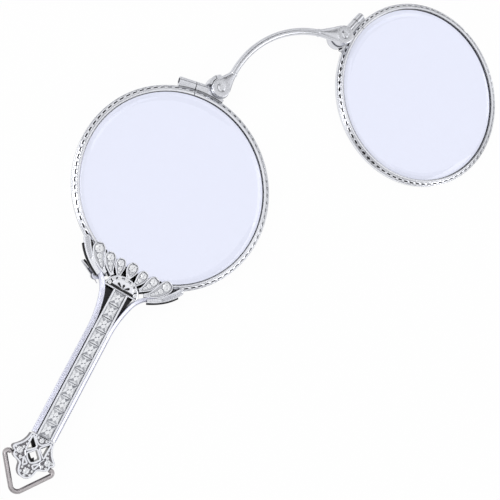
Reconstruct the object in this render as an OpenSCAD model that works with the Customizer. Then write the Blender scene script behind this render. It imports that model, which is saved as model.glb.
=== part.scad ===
// Folding lorgnette: two round lenses on a pivoted bridge, with a jewelled handle and a ribbon bail.
// It lies open on its back, +Z towards the viewer. Millimetres.
// The first rim, the handle and the first drum form the middle layer. The second rim lies lower,
// so that it folds behind the first, and the bridge turns on top of both.

/* [Lenses and rims] */
// Outer radius of each rim
rim_r = 20.5; // [19:0.1:22.5]
// Width of the rim seen from the front
rim_w = 1.4; // [1.2:0.05:1.6]
// Depth of the rim from back to front
rim_h = 1.7; // [1.6:0.05:2.1]
// Depth of the groove that holds the lens
groove_d = 0.4; // [0.25:0.05:0.5]
// Thickness of the lens at its centre
lens_t = 1.3; // [1.0:0.05:1.4]
// Thickness of the lens at its edge
lens_edge_t = 0.7; // [0.5:0.05:0.8]
// Clearance round a seated lens
lens_gap = 0.04; // [0.02:0.01:0.08]
// Width of the saw cut that the closing screw draws together
split_w = 0.15; // [0.1:0.05:0.3]
// Distance between the lens centres when open
pupil_d = 62.9; // [60:0.1:68]
// Drop of the second lens centre below the first
pupil_drop = 0.15; // [0:0.05:1]
// Space between the two rims when folded
fold_gap = 0.2; // [0.15:0.05:0.5]
// Clearance at soldered seams
solder_gap = 0.03; // [0.02:0.01:0.05]

/* [Pivots] */
// Distance of each pivot outside its rim
pivot_out = 2.2; // [2.2:0.05:2.8]
// Place of the first pivot round its rim, in degrees
pivot_1_at = 42.4; // [40:0.2:45]
// Place of the second pivot round its rim, in degrees
pivot_2_at = 129.6; // [127:0.2:132]
// Radius of the spring drum under each pivot
drum_r = 2.2; // [2.1:0.05:2.3]
// Height of the drum on the first rim
drum_h = 1.45; // [1.3:0.05:1.6]
// Wall of the spring drum
drum_wall = 0.4; // [0.3:0.05:0.5]
// Depth of the spring chamber in the drum
chamber_d = 0.8; // [0.6:0.05:0.85]
// Radius of the pivot rivet
rivet_r = 0.55; // [0.45:0.05:0.6]
// Radius of the rivet head
rivet_head_r = 0.85; // [0.75:0.05:1]
// Thickness of the rivet head
rivet_head_h = 0.25; // [0.2:0.05:0.3]
// Height of the rivet dome above the disc
rivet_dome_h = 0.1; // [0.06:0.02:0.14]
// Running clearance round a turning pin
run_gap = 0.04; // [0.02:0.01:0.08]
// Clearance between sliding faces
face_gap = 0.05; // [0.03:0.01:0.1]
// Thickness of the spring strip in the drum
strip_t = 0.12; // [0.08:0.01:0.15]
// Turns of the spring strip
strip_turns = 2.25; // [1.5:0.25:2.5]

/* [Bridge] */
// Radius of the centre line of the arch
arch_r = 20.75; // [20.5:0.05:21.2]
// Rise of the arch centre above the point where both pivots are equally far away
arch_rise = 0.8; // [0.6:0.05:1.2]
// Width of the arch
arch_w = 1.45; // [1.2:0.05:1.5]
// Thickness of the arch
arch_t = 1.1; // [0.9:0.05:1.3]
// Height of the flat edge under the rounded top of the arch
arch_edge = 0.35; // [0.25:0.05:0.5]
// Place of the collar near the first disc, in degrees from the middle of the arch
collar_1_at = 35; // [33:0.5:36]
// Place of the collar near the second disc, in degrees from the middle of the arch
collar_2_at = 30; // [28:0.5:32]
// How far a collar stands proud of the arch
collar_out = 0.12; // [0.06:0.02:0.16]
// Length of a collar along the arch
collar_len = 0.45; // [0.3:0.05:0.7]
// Radius of the disc at each end of the bridge
disc_r = 1.95; // [1.8:0.05:2]
// Width of the open stop beyond its disc
stop_w = 0.75; // [0.6:0.05:0.85]
// Gap between stop and shoulder when open, in degrees
stop_gap = 1.5; // [1:0.5:3]

/* [Closing joints] */
// Radius of the closing tubes
tube_r = 0.85; // [0.75:0.05:0.85]
// Radius of the closing screw
screw_r = 0.33; // [0.3:0.01:0.36]
// Radius of the head of the closing screw
screw_head_r = 0.55; // [0.48:0.01:0.6]
// Thickness of the head of the closing screw
screw_head_h = 0.4; // [0.3:0.05:0.5]
// Width of the screwdriver slot
slot_w = 0.14; // [0.1:0.01:0.2]
// Depth of the recess for the screw head
recess_d = 0.8; // [0.6:0.05:1]
// Place of the split in the first rim, in degrees
split_1_at = 55; // [54:0.2:57]
// Place of the split in the second rim, in degrees
split_2_at = 114; // [113:0.2:116]
// Length of the free tube on the first rim
tube_1_len = 3.4; // [2.6:0.1:3.8]
// Length of the free tube on the second rim
tube_2_len = 2; // [1.8:0.1:2.6]
// Length of the tube on the first drum
inner_1_len = 2.3; // [2:0.1:2.6]
// Length of the tube on the second drum
inner_2_len = 3.4; // [2.6:0.1:3.8]
// Gap between a closing tube and its rim, filled by the solder strip
tube_gap = 0.08; // [0.06:0.01:0.15]
// Width of the web between a tube and its rim
web_w = 1.1; // [0.8:0.1:1.3]

/* [Handle] */
// Turn of the handle about the first lens, in degrees
handle_turn = -51; // [-60:1:-40]
// Distance from the rim to the top of the stone channel
neck_len = 3.2; // [3:0.1:3.8]
// Number of square stones in the channel
stone_count = 11; // [8:1:14]
// Width of a square stone
stone_w = 2.3; // [2:0.05:2.5]
// Length of a square stone along the handle
stone_len = 2.6; // [2.3:0.05:2.65]
// Distance from one square stone to the next
stone_pitch = 2.74; // [2.7:0.01:3]
// Clearance round a stone
stone_gap = 0.03; // [0.02:0.01:0.05]
// Thickness of the channel walls
channel_wall = 0.35; // [0.25:0.01:0.4]
// Height of the channel
channel_h = 2.7; // [2.5:0.05:3]
// Depth of the trough for the stones
trough_d = 1.3; // [1.2:0.05:1.5]
// Width of each rail
rail_w = 0.92; // [0.8:0.02:1.1]
// Height of each rail
rail_h = 2.35; // [2.1:0.05:2.5]
// How much narrower a rail is at its back
rail_taper = 0.35; // [0.2:0.05:0.4]
// Distance from the rim to where the rails start to spread
spread_start = 11.7; // [11:0.1:13]
// Radius of the slow spread of the rails
slow_r = 22; // [20:0.5:24]
// Angle of the slow spread
slow_angle = 18; // [17:0.5:19]
// Radius of the quick spread of the rails
quick_r = 5.5; // [5.2:0.1:5.8]
// Angle of the quick spread
quick_angle = 52; // [50:1:56]

/* [Fan and half moon] */
// Width of the saddle between rim and handle
saddle_w = 1.5; // [1.3:0.05:1.6]
// Half angle of the saddle
saddle_angle = 22; // [20:1:24]
// Thickness of the fan and the half moon
fan_t = 0.6; // [0.5:0.05:0.8]
// Height of the stone collars above the fan
collet_h = 0.25; // [0.15:0.05:0.35]
// Wall of the stone collars
collet_wall = 0.18; // [0.12:0.02:0.25]
// Radius of the round stones in the petals
petal_stone_r = 0.75; // [0.6:0.05:0.8]
// Radius of the half moon
moon_r = 3.45; // [3.2:0.05:3.45]
// Height of the half moon
moon_h = 2.65; // [2.4:0.05:2.7]
// Width of the plain band round the half moon
band_w = 0.45; // [0.3:0.05:0.5]
// Radius of the small stones in the half moon
moon_stone_r = 0.36; // [0.3:0.02:0.38]

/* [Terminal and bail] */
// Thickness of the pierced terminal
terminal_t = 2.2; // [2:0.05:2.4]
// Distance of the bail pins below the channel
pin_drop = 4.8; // [4.6:0.1:5.2]
// Radius of the wire of the bail
wire_r = 0.46; // [0.4:0.01:0.5]
// Centre line radius of the bottom of the bail
bend_r = 1.3; // [1.1:0.1:1.5]
// Distance between the bail pins and the centre of the bottom bend
bail_len = 4.7; // [4.6:0.1:6]
// Half distance between the centres of the two shoulders of the bail
bail_half = 4.3; // [4.25:0.05:4.6]
// Centre line radius of the shoulders of the bail
shoulder_r = 0.55; // [0.52:0.01:0.6]
// Radius of the bail pins
bail_pin_r = 0.3; // [0.25:0.01:0.32]
// Length of a bail pin inside its lobe
pin_hold = 0.5; // [0.4:0.05:0.6]

/* [Release lever] */
// Distance of the lever pin from the centre line of the handle
lever_x = 5.3; // [5.2:0.05:5.4]
// Distance of the lever pin from the rim
lever_drop = 2.2; // [2.1:0.05:2.3]
// Radius of the lever pin
lever_pin_r = 0.35; // [0.3:0.01:0.38]
// Radius of the eye of the lever
lever_eye_r = 0.8; // [0.75:0.05:0.85]
// Thickness of the lever
lever_t = 0.7; // [0.6:0.05:0.75]
// Reach of the thumb piece beyond the pin
thumb_len = 3.6; // [3:0.1:3.9]
// Direction of the thumb piece, in degrees
thumb_at = 158; // [156:1:161]
// Depth of the catch notch in the second rim
notch_d = 0.3; // [0.25:0.05:0.35]
// Width of the catch notch
notch_w = 1; // [0.9:0.1:1.4]
// Place of the catch, in degrees from the centre line of the handle
catch_at = 6.7; // [6:0.1:7.4]

/* [Hidden] */

// Faces of large and small rounds
round_fn = 120;
small_fn = 48;
facet_fn = 8;
// Overshoot of a cut
over = 1;
// Longer than the whole object
far = 200;

// Levels
mid_z = rim_h + fold_gap;
front_z = mid_z + rim_h;
arm_z = mid_z + drum_h + face_gap;
arm_top = arm_z + arch_t;

// Rim and lens
rim_in = rim_r - rim_w;
body_r = rim_in - lens_gap;
lens_r = rim_in + groove_d - lens_gap;
tube_at = rim_r + tube_gap + tube_r;

// Pivot places, and the point below the chord that is equally far from both pivots
pivot_r = rim_r + pivot_out;
pivot_1 = polar(pivot_r, pivot_1_at);
lens_2_at = [pupil_d, -pupil_drop];
pivot_2 = lens_2_at + polar(pivot_r, pivot_2_at);
chord = norm(pivot_2 - pivot_1);
chord_turn = atan2(pivot_2[1] - pivot_1[1], pivot_2[0] - pivot_1[0]);
fold_half = asin(chord / 2 / pivot_r);
arch_centre = [chord / 2, arch_rise - pivot_r * cos(fold_half)];

// Turns that bring the second lens behind the first
fold_turn_1 = pivot_1_at - fold_half - 90 - chord_turn;
fold_turn_both = pivot_1_at - 2 * fold_half - pivot_2_at;
fold_turn_2 = fold_turn_both - fold_turn_1;

// Handle, drawn with its length along -Y below the first lens
channel_top = rim_r + neck_len;
channel_end = channel_top + stone_count * stone_pitch;
channel_half = stone_w / 2 + stone_gap + channel_wall;
rail_in = channel_half + solder_gap;
shaft_half = rail_in + rail_w;
spread_y = rim_r + spread_start;
saddle_r = rim_r + saddle_w;
seat_r = rim_r + solder_gap;
moon_y = channel_top - solder_gap;
moon_centre = moon_y + moon_r - moon_h;
terminal_y = channel_end + solder_gap;
pin_y = channel_end + pin_drop;
pin_z = mid_z + terminal_t / 2;
bend_y = pin_y + bail_len;

// The legs of the bail are tangent to its shoulders and to its bottom bend
leg_rise = bail_len - shoulder_r;
leg_turn = atan2(leg_rise, bail_half) - acos((bend_r - shoulder_r) / norm([bail_half, leg_rise]));
bail_end = bail_half - 0.3;
lobe_edge = bail_end - 0.3;
lobe_cut = pin_y - 0.55;

// Release lever
lever_at = [-lever_x, -(rim_r + lever_drop)];
lever_head_h = 0.2;
lever_z = 0.6;
lever_top = lever_z + lever_t;
catch_angle = 270 - catch_at;

// The origin lies at the middle of the base of the whole object
arch_top = pivot_1[1] + turned(arch_centre, chord_turn)[1] + arch_r + arch_w / 2;
bend_at = turned([0, -bend_y], handle_turn);
bend_out = bend_r + wire_r;
mid = [
  (bend_at[0] - bend_out + lens_2_at[0] + rim_r) / 2,
  (bend_at[1] - bend_out + arch_top) / 2
];

function turned(p, a) = [p[0] * cos(a) - p[1] * sin(a), p[0] * sin(a) + p[1] * cos(a)];
function polar(r, a) = [r * cos(a), r * sin(a)];
function flip(p) = [-p[0], p[1]];

echo(lens_1 = -mid, lens_2 = lens_2_at - mid, pivot_1 = pivot_1 - mid, pivot_2 = pivot_2 - mid);
echo(fold_turn_1 = fold_turn_1, fold_turn_2 = fold_turn_2);
echo(bail_axis = turned([0, -pin_y], handle_turn) - mid, pin_z = pin_z);
echo(lever_axis = turned(lever_at, handle_turn) - mid, arch_centre = pivot_1 + turned(arch_centre, chord_turn) - mid);

// Places
module in_place(z = 0) {
  translate([-mid[0], -mid[1], z]) children();
}

module at_lens_2() {
  in_place() translate([lens_2_at[0], lens_2_at[1], 0]) children();
}

module at_bridge(z = 0) {
  in_place(z) translate([pivot_1[0], pivot_1[1], 0]) rotate([0, 0, chord_turn]) children();
}

module at_handle(z = 0) {
  in_place(z) rotate([0, 0, handle_turn]) children();
}

module both_sides() {
  children();
  mirror([1, 0, 0]) children();
}

// Shapes that repeat
// Two circles joined by their outer tangents
module drop(p, r, q, s) {
  a = atan2(q[1] - p[1], q[0] - p[0]);
  b = acos((r - s) / norm(q - p));
  translate(p) circle(r, $fn = small_fn);
  translate(q) circle(s, $fn = small_fn);
  polygon([p + polar(r, a + b), p + polar(r, a - b), q + polar(s, a - b), q + polar(s, a + b)]);
}

module ring_part(r_in, r_out, from, to, h) {
  rotate([0, 0, from]) rotate_extrude(angle = to - from, $fn = round_fn)
    translate([r_in, 0]) square([r_out - r_in, h]);
}

module disc(r, z, h) {
  translate([0, 0, z]) cylinder(r = r, h = h, $fn = small_fn);
}

module rod(p, q, r) {
  translate([p[0], p[1], 0]) rotate([0, 0, atan2(q[1] - p[1], q[0] - p[0])])
    rotate([0, 90, 0]) cylinder(r = r, h = norm(q - p), $fn = small_fn);
}

// A round stone with its girdle at z = 0: table, crown and pavilion
module round_stone(r) {
  table_r = 0.58 * r;
  crown_h = 0.32 * r;
  pavilion_h = 0.75 * r;
  cylinder(r1 = r, r2 = table_r, h = crown_h, $fn = facet_fn);
  translate([0, 0, -pavilion_h]) cylinder(r1 = 0.1 * r, r2 = r, h = pavilion_h, $fn = facet_fn);
}

// Seat that a round stone drops into from above, girdle at z = 0
module stone_seat(r) {
  depth = 0.75 * r + stone_gap;
  translate([0, 0, -depth]) cylinder(r = r + stone_gap, h = depth + over, $fn = small_fn);
}

// A square stone with a table half its size, girdle at z = 0
module square_stone(w, len) {
  crown_h = 0.4;
  pavilion_h = 0.85;
  linear_extrude(crown_h, scale = 0.5) square([w, len], center = true);
  mirror([0, 0, 1]) linear_extrude(pavilion_h, scale = 0.12) square([w, len], center = true);
}

// Rims and lenses
module rim_section() {
  back_in = 0.15;
  back_out = 0.35;
  engraved_w = 0.95;
  engraved_h = 0.55;
  lip = 0.25;
  groove_z = rim_h / 2;
  groove_half = lens_edge_t / 2;
  polygon([
    [rim_in + back_in, 0], [rim_r - back_out, 0], [rim_r, back_out],
    [rim_r, rim_h - engraved_h], [rim_r - engraved_w, rim_h], [rim_in + lip, rim_h],
    [rim_in, rim_h - lip], [rim_in, groove_z + groove_half],
    [rim_in + groove_d, groove_z], [rim_in, groove_z - groove_half], [rim_in, back_in]
  ]);
}

module rim_ring(split_at) {
  difference() {
    rotate_extrude($fn = round_fn) rim_section();
    rotate([0, 0, split_at]) translate([rim_in - over, -split_w / 2, -over])
      cube([rim_w + 2 * over, split_w, rim_h + 2 * over]);
  }
}

module lens_glass() {
  steps = 8;
  sag = (lens_t - lens_edge_t) / 2 + lens_gap;
  front = [for (i = [0:steps]) [body_r * i / steps, lens_t / 2 - sag * pow(i / steps, 2)]];
  back = [for (i = [steps:-1:0]) [front[i][0], -front[i][1]]];
  translate([0, 0, rim_h / 2]) rotate_extrude($fn = round_fn) polygon(concat(front, [[lens_r, 0]], back));
}

module rim_1() {
  color("silver") in_place(mid_z) rim_ring(split_1_at);
}

module rim_2() {
  notch_at = catch_angle + handle_turn - fold_turn_both;
  color("silver") at_lens_2() difference() {
    rim_ring(split_2_at);
    rotate([0, 0, notch_at]) translate([rim_r - notch_d, -notch_w / 2, -over])
      cube([over, notch_w, lever_top + face_gap + over]);
  }
}

module lens_1() {
  color("lightblue", 0.4) in_place(mid_z) lens_glass();
}

module lens_2() {
  color("lightblue", 0.4) at_lens_2() lens_glass();
}

// Closing joints. The tubes lie on a tangent of the rim, one on each side of the split;
// side = 1 puts the tube at larger angles than the split, side = -1 at smaller ones.
module on_tangent(split_at, side) {
  rotate([0, 0, split_at]) translate([tube_at, side * split_w / 2, rim_h / 2])
    rotate([-90 * side, 0, 0]) children();
}

module tube_body(len) {
  cylinder(r = tube_r, h = len, $fn = small_fn);
  translate([-tube_r - 0.5, -web_w / 2, 0]) cube([tube_r + 0.5, web_w, len]);
}

module lens_clearance(h) {
  translate([0, 0, -over]) cylinder(r = seat_r, h = h + 2 * over, $fn = round_fn);
}

module free_tube(split_at, side, len) {
  difference() {
    on_tangent(split_at, side) tube_body(len);
    on_tangent(split_at, side) disc(screw_r + run_gap, -over, len + 2 * over);
    on_tangent(split_at, side) disc(screw_head_r + run_gap, len - recess_d, recess_d + over);
    lens_clearance(rim_h);
  }
}

module closing_screw(split_at, side, len, inner_len) {
  grip = inner_len - 0.5;
  head_z = len - recess_d + face_gap;
  on_tangent(split_at, side) difference() {
    union() {
      disc(screw_r, -grip, grip + head_z);
      disc(screw_head_r, head_z, screw_head_h);
    }
    translate([-over, -slot_w / 2, head_z + screw_head_h / 2]) cube([2 * over, slot_w, over]);
  }
}

module closing_tube_1() {
  color("gainsboro") in_place(mid_z) free_tube(split_1_at, 1, tube_1_len);
}

module closing_tube_2() {
  color("gainsboro") at_lens_2() free_tube(split_2_at, -1, tube_2_len);
}

module closing_screw_1() {
  color("darkgray") in_place(mid_z) closing_screw(split_1_at, 1, tube_1_len, inner_1_len);
}

module closing_screw_2() {
  color("darkgray") at_lens_2() closing_screw(split_2_at, -1, tube_2_len, inner_2_len);
}

// Spring drum with the other half of the closing tube, a strip along the rim and the open stop
module drum(split_at, side, inner_len, pivot_at, h, stop_from, stop_to, stop_h) {
  centre = polar(pivot_r, pivot_at);
  tube_end = polar(tube_at, split_at) + polar(inner_len, split_at - 90 * side);
  strip_w = 0.55;
  strip_past = 5;
  chamber_r = drum_r - drum_wall;
  strip_ends = [split_at - side * 0.3, pivot_at - side * strip_past];
  stop_in = disc_r + 0.12;
  difference() {
    union() {
      translate(centre) cylinder(r = drum_r, h = h, $fn = round_fn);
      linear_extrude(h) drop(tube_end, tube_r * 0.7, centre, drum_r * 0.85);
      on_tangent(split_at, -side) disc(tube_r, 0, inner_len);
      ring_part(seat_r, seat_r + strip_w, min(strip_ends), max(strip_ends), h);
      translate(centre) ring_part(stop_in, disc_r + stop_w, stop_from, stop_to, stop_h);
      translate(centre) ring_part(chamber_r, disc_r + stop_w, stop_from, stop_to, h);
    }
    lens_clearance(far);
    translate(centre) disc(chamber_r, h - chamber_d, chamber_d + over);
    translate(centre) disc(stop_in, h, far);
    translate(centre) disc(rivet_r + run_gap, -over, h + 2 * over);
    translate(centre) disc(rivet_head_r + run_gap, -over, over + rivet_head_h + 2 * face_gap);
    on_tangent(split_at, -side) disc(screw_r + run_gap, -over, inner_len + over);
  }
}

// Flat spiral spring, wound from the post out to the wall of its chamber
module spiral_spring() {
  steps = 20;
  inner = rivet_r + run_gap + 0.15 + strip_t / 2;
  outer = drum_r - drum_wall - solder_gap - strip_t / 2;
  last = steps * strip_turns;
  edge = function(i, s) polar(inner + (outer - inner) * i / last + s * strip_t / 2, 360 * i / steps);
  linear_extrude(chamber_d - 2 * face_gap)
    polygon(concat([for (i = [0:last]) edge(i, 1)], [for (i = [last:-1:0]) edge(i, -1)]));
}

module pivot_drum_1() {
  from = chord_turn + 92;
  color("silver") in_place(mid_z)
    drum(split_1_at, 1, inner_1_len, pivot_1_at, drum_h, from, from + 48, drum_h + face_gap + arch_t - 0.15);
}

module pivot_drum_2() {
  to = chord_turn + stop_2_at;
  color("silver") at_lens_2()
    drum(split_2_at, -1, inner_2_len, pivot_2_at, rim_h, to - 30, to, arm_z - face_gap);
}

module pivot_spring_1() {
  color("slategray") in_place(mid_z + drum_h - chamber_d + face_gap) translate(pivot_1) spiral_spring();
}

module pivot_spring_2() {
  color("slategray") in_place(rim_h - chamber_d + face_gap) translate(pivot_2) spiral_spring();
}

// Rivet with a flush domed head on top and a tail head under the floor of the drum
module pivot_rivet(bottom) {
  top = arm_top - rivet_head_h;
  disc(rivet_r, bottom, top - bottom);
  disc(rivet_head_r, bottom, rivet_head_h);
  disc(rivet_head_r, top, rivet_head_h);
  translate([0, 0, arm_top]) cylinder(r1 = rivet_head_r, r2 = rivet_head_r * 0.6, h = rivet_dome_h, $fn = small_fn);
}

module pivot_rivet_1() {
  color("gainsboro") at_bridge() pivot_rivet(mid_z + face_gap);
}

module pivot_rivet_2() {
  color("gainsboro") at_bridge() translate([chord, 0, 0]) pivot_rivet(face_gap);
}

// Bridge: arch, two collars, and a flare to each disc
stop_2_at = 146;
collar_1 = arch_centre + polar(arch_r, 90 + collar_1_at);
collar_2 = arch_centre + polar(arch_r, 90 - collar_2_at);

module arch_section(out) {
  steps = 10;
  half = arch_w / 2 + out;
  polygon(concat([[-half, 0], [half, 0]],
    [for (i = [0:steps]) [half * cos(180 * i / steps), arch_edge + (arch_t - arch_edge + out) * sin(180 * i / steps)]]));
}

module arch(from, to, out) {
  translate(arch_centre) rotate([0, 0, from]) rotate_extrude(angle = to - from, $fn = round_fn)
    translate([arch_r, 0]) arch_section(out);
}

module collar(at) {
  half = collar_len / arch_r * 90 / PI;
  arch(at - half, at + half, collar_out);
}

// Flare between a collar and its disc: the section of the arch swells to the width of the disc
module flare(collar_at, disc_at) {
  foot = arch_w / 2 - 0.12;
  crest = 0.25;
  linear_extrude(arch_t - crest) drop(collar_at, foot, disc_at, disc_r * 0.98);
  linear_extrude(arch_t) drop(collar_at, foot * 0.5, disc_at, disc_r * 0.75);
}

module bridge_arm() {
  hub_z = rim_h + face_gap - arm_z;
  shoulder_r = disc_r + stop_w;
  second = [chord, 0];
  color("silver") at_bridge(arm_z) difference() {
    union() {
      arch(90 - collar_2_at, 90 + collar_1_at, 0);
      collar(90 + collar_1_at);
      collar(90 - collar_2_at);
      flare(collar_1, [0, 0]);
      flare(collar_2, second);
      disc(disc_r, 0, arch_t);
      ring_part(disc_r - 0.2, shoulder_r, 62, 92 - stop_gap, arch_t - 0.2);
      translate(second) disc(disc_r, hub_z, arch_t - hub_z);
      translate([chord, 0, hub_z]) ring_part(disc_r - 0.2, shoulder_r, stop_2_at + stop_gap, 172, -hub_z + 0.2);
    }
    for (x = [0, chord]) translate([x, 0, 0]) {
      disc(rivet_r + solder_gap, hub_z - over, far);
      disc(rivet_head_r + solder_gap, arch_t - rivet_head_h - solder_gap, far);
    }
  }
}

// Neck of the handle: saddle, fan and half moon
petals = [
  [[0, -21.6], 0.5, [0, -18.4], 1.15, [0, -18.4]],
  [[1.9, -21.4], 0.5, [2.55, -19.1], 1.15, [2.5, -19.15]],
  [[3.9, -21.2], 0.5, [5.1, -18.95], 1.2, [5.0, -19.0]],
  [[5.9, -20.8], 0.5, [7.75, -18.75], 1.25, [7.5, -18.9]]
];
slots = [
  [[1.2, -20.1], 0.14, [1.35, -18.6], 0.12],
  [[3.2, -20.6], 0.16, [3.8, -18.5], 0.14],
  [[5.2, -20.5], 0.18, [6.3, -18.3], 0.14]
];
fan_lift = rim_r - 20.5;

module lifted() {
  translate([0, -fan_lift, 0]) children();
}

module rim_saddle() {
  color("silver") at_handle(mid_z)
    ring_part(seat_r, saddle_r, 270 - saddle_angle, 270 + saddle_angle, rim_h);
}

module fan_outline() {
  difference() {
    circle(saddle_r, $fn = round_fn);
    circle(rim_r - rim_w / 2, $fn = round_fn);
    polygon([[0, 0], polar(far, 270 + saddle_angle), [far, far], [-far, far], polar(far, 270 - saddle_angle)]);
  }
  both_sides() translate([0, -fan_lift]) {
    for (p = petals) drop(p[0], p[1], p[2], p[3]);
    drop([8.4, -19.6], 0.75, [10.7, -17.3], 0.25);
  }
}

module fan_gallery() {
  stone_z = fan_t + 0.05;
  color("silver") at_handle(front_z) difference() {
    union() {
      linear_extrude(fan_t) difference() {
        fan_outline();
        translate([0, -moon_centre]) circle(moon_r + solder_gap, $fn = round_fn);
        both_sides() translate([0, -fan_lift]) for (s = slots) drop(s[0], s[1], s[2], s[3]);
      }
      lifted() both_sides() for (p = petals) translate(p[4])
        disc(petal_stone_r + stone_gap + collet_wall, 0, fan_t + collet_h);
    }
    lifted() both_sides() for (p = petals) translate([p[4][0], p[4][1], stone_z]) stone_seat(petal_stone_r);
  }
}

module fan_stones() {
  color("white") at_handle(front_z + fan_t + 0.05) lifted() {
    translate(petals[0][4]) round_stone(petal_stone_r);
    both_sides() for (i = [1:3]) translate(petals[i][4]) round_stone(petal_stone_r);
  }
}

// Half moon: a plate with a straight lower edge, three pierced drops and a row of small stones
moon_stones = [for (a = [-52, -26, 0, 26, 52]) [0, -moon_centre] + polar(moon_r - band_w - moon_stone_r - 0.1, 90 - a)];

module half_moon() {
  color("silver") at_handle(front_z) {
    difference() {
      linear_extrude(fan_t) difference() {
        translate([0, -moon_centre]) circle(moon_r, $fn = round_fn);
        translate([-far / 2, -moon_y - far]) square([far, far]);
        for (a = [-38, 0, 38]) translate([0, -moon_y])
          drop(polar(0.45, 90 - a), 0.08, polar(1.05, 90 - a), 0.19);
      }
      for (p = moon_stones) translate([p[0], p[1], fan_t + 0.03]) stone_seat(moon_stone_r);
    }
    linear_extrude(fan_t + 0.15) difference() {
      translate([0, -moon_centre]) circle(moon_r, $fn = round_fn);
      translate([0, -moon_centre]) circle(moon_r - band_w * 0.6, $fn = round_fn);
      translate([-far / 2, -moon_y - far]) square([far, far]);
    }
  }
}

module half_moon_stones() {
  color("white") at_handle(front_z + fan_t + 0.03) for (p = moon_stones) translate(p) round_stone(moon_stone_r);
}

// Shaft of the handle. The section runs from the inner edge outwards, with the back edge drawn in.
rail_shape = [
  [0, 0], [rail_w - rail_taper, 0], [rail_w, rail_h * 0.76], [rail_w, rail_h * 0.82],
  [rail_w - 0.28, rail_h * 0.92], [0.1, rail_h], [0, rail_h]
];

// Part of a rail that bends outwards about a centre beyond its outer edge, slimmer all round by slim
module rail_bend(r, turn, slim = 0) {
  rotate_extrude(angle = turn, $fn = round_fn)
    polygon([for (p = rail_shape) let(q = slimmer(p, slim)) [r + rail_w - q[0], q[1]]]);
}

function slimmer(p, slim) = let(k = 1 - 2 * slim / rail_w, m = 1 - 2 * slim / rail_h)
  [rail_w / 2 + (p[0] - rail_w / 2) * k, rail_h / 2 + (p[1] - rail_h / 2) * m];

// Each bend is a hair slimmer than the piece before it and starts inside it, so that they join cleanly
module rail() {
  slim = 0.02;
  slow_lap = 1;
  quick_lap = 3;
  translate([rail_in, -spread_y, 0]) rotate([90, 0, 0])
    linear_extrude(channel_end - spread_y) polygon(rail_shape);
  translate([shaft_half + slow_r, -spread_y, 0]) rotate([0, 0, 180 - slow_angle]) {
    rail_bend(slow_r, slow_angle + slow_lap, slim);
    translate([slow_r - quick_r, 0, 0]) rotate([0, 0, -quick_angle]) rail_bend(quick_r, quick_angle + quick_lap, 2 * slim);
  }
}

module handle_rails() {
  lug_h = 1.2;
  color("silver") at_handle(mid_z) difference() {
    union() {
      both_sides() rail();
      translate(lever_at) disc(lever_eye_r, 0, lug_h);
    }
    translate([0, 0, -over]) cylinder(r = saddle_r + solder_gap, h = far, $fn = round_fn);
    translate(lever_at) disc(lever_pin_r + solder_gap, -over, lug_h + over);
  }
}

module stone_channel() {
  end_wall = (stone_pitch - stone_len) / 2 - stone_gap;
  trough_len = channel_end - channel_top - 2 * end_wall;
  trough_half = stone_w / 2 + stone_gap;
  back_cut = 0.8;
  color("gainsboro") at_handle(mid_z) difference() {
    translate([-channel_half, -channel_end, 0]) cube([2 * channel_half, channel_end - channel_top, channel_h]);
    translate([-trough_half, -channel_end + end_wall, channel_h - trough_d])
      cube([2 * trough_half, trough_len, trough_d + over]);
    for (i = [0:stone_count - 1]) translate([0, -channel_top - stone_pitch * (i + 0.5), 0])
      disc(back_cut, -over, channel_h);
  }
}

module channel_stones() {
  table_drop = 0.05;
  color("white") at_handle(mid_z + channel_h - table_drop - 0.4)
    for (i = [0:stone_count - 1]) translate([0, -channel_top - stone_pitch * (i + 0.5), 0])
      square_stone(stone_w, stone_len);
}

// Terminal: two side lobes and a bottom lobe round crossing bars and a kite-shaped opening
terminal_marks = [[0, -60.6], [2.9, -57.75]];
lobe_shift = channel_end - 53.84;

module terminal_outline() {
  difference() {
    union() {
      both_sides() {
        drop([1.95, -54.45], 0.62, [3.1, -57.55], 1.25);
        drop([0.4, -58.4], 1.2, [2.6, -58.3], 1.15);
      }
      drop([0, -57.4], 1.9, [0, -60.45], 1.6);
      translate([-shaft_half, -55]) square([2 * shaft_half, 55 - 53.87]);
    }
    both_sides() {
      polygon([[1.75, -54.9], [1.65, -57.1], [0.5, -56.05]]);
      drop([1.5, -58.5], 0.12, [1.8, -59.7], 0.1);
    }
    polygon([[0, -56.7], [1.05, -57.75], [0, -58.75], [-1.05, -57.75]]);
  }
}

module at_terminal() {
  translate([0, -lobe_shift, 0]) children();
}

module terminal_stone_places() {
  at_terminal() {
    translate(terminal_marks[0]) children();
    both_sides() translate(terminal_marks[1]) children();
  }
}

module terminal() {
  collet_r = petal_stone_r + stone_gap + collet_wall;
  bore_in = lobe_edge - pin_hold - solder_gap;
  color("silver") at_handle(mid_z) difference() {
    union() {
      linear_extrude(terminal_t) intersection() {
        at_terminal() terminal_outline();
        translate([-far / 2, -terminal_y - far]) square([far, far]);
      }
      terminal_stone_places() disc(collet_r, 0, terminal_t + collet_h * 0.6);
    }
    both_sides() {
      translate([lobe_edge, -lobe_cut - far, -over]) cube([far, far, far]);
      translate([bore_in, -pin_y, pin_z - mid_z]) rotate([0, 90, 0])
        cylinder(r = bail_pin_r + run_gap, h = over, $fn = small_fn);
    }
    translate([0, 0, terminal_t + 0.05]) terminal_stone_places() stone_seat(petal_stone_r);
  }
}

module terminal_stones() {
  color("white") at_handle(mid_z + terminal_t + 0.05) terminal_stone_places() round_stone(petal_stone_r);
}

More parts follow.
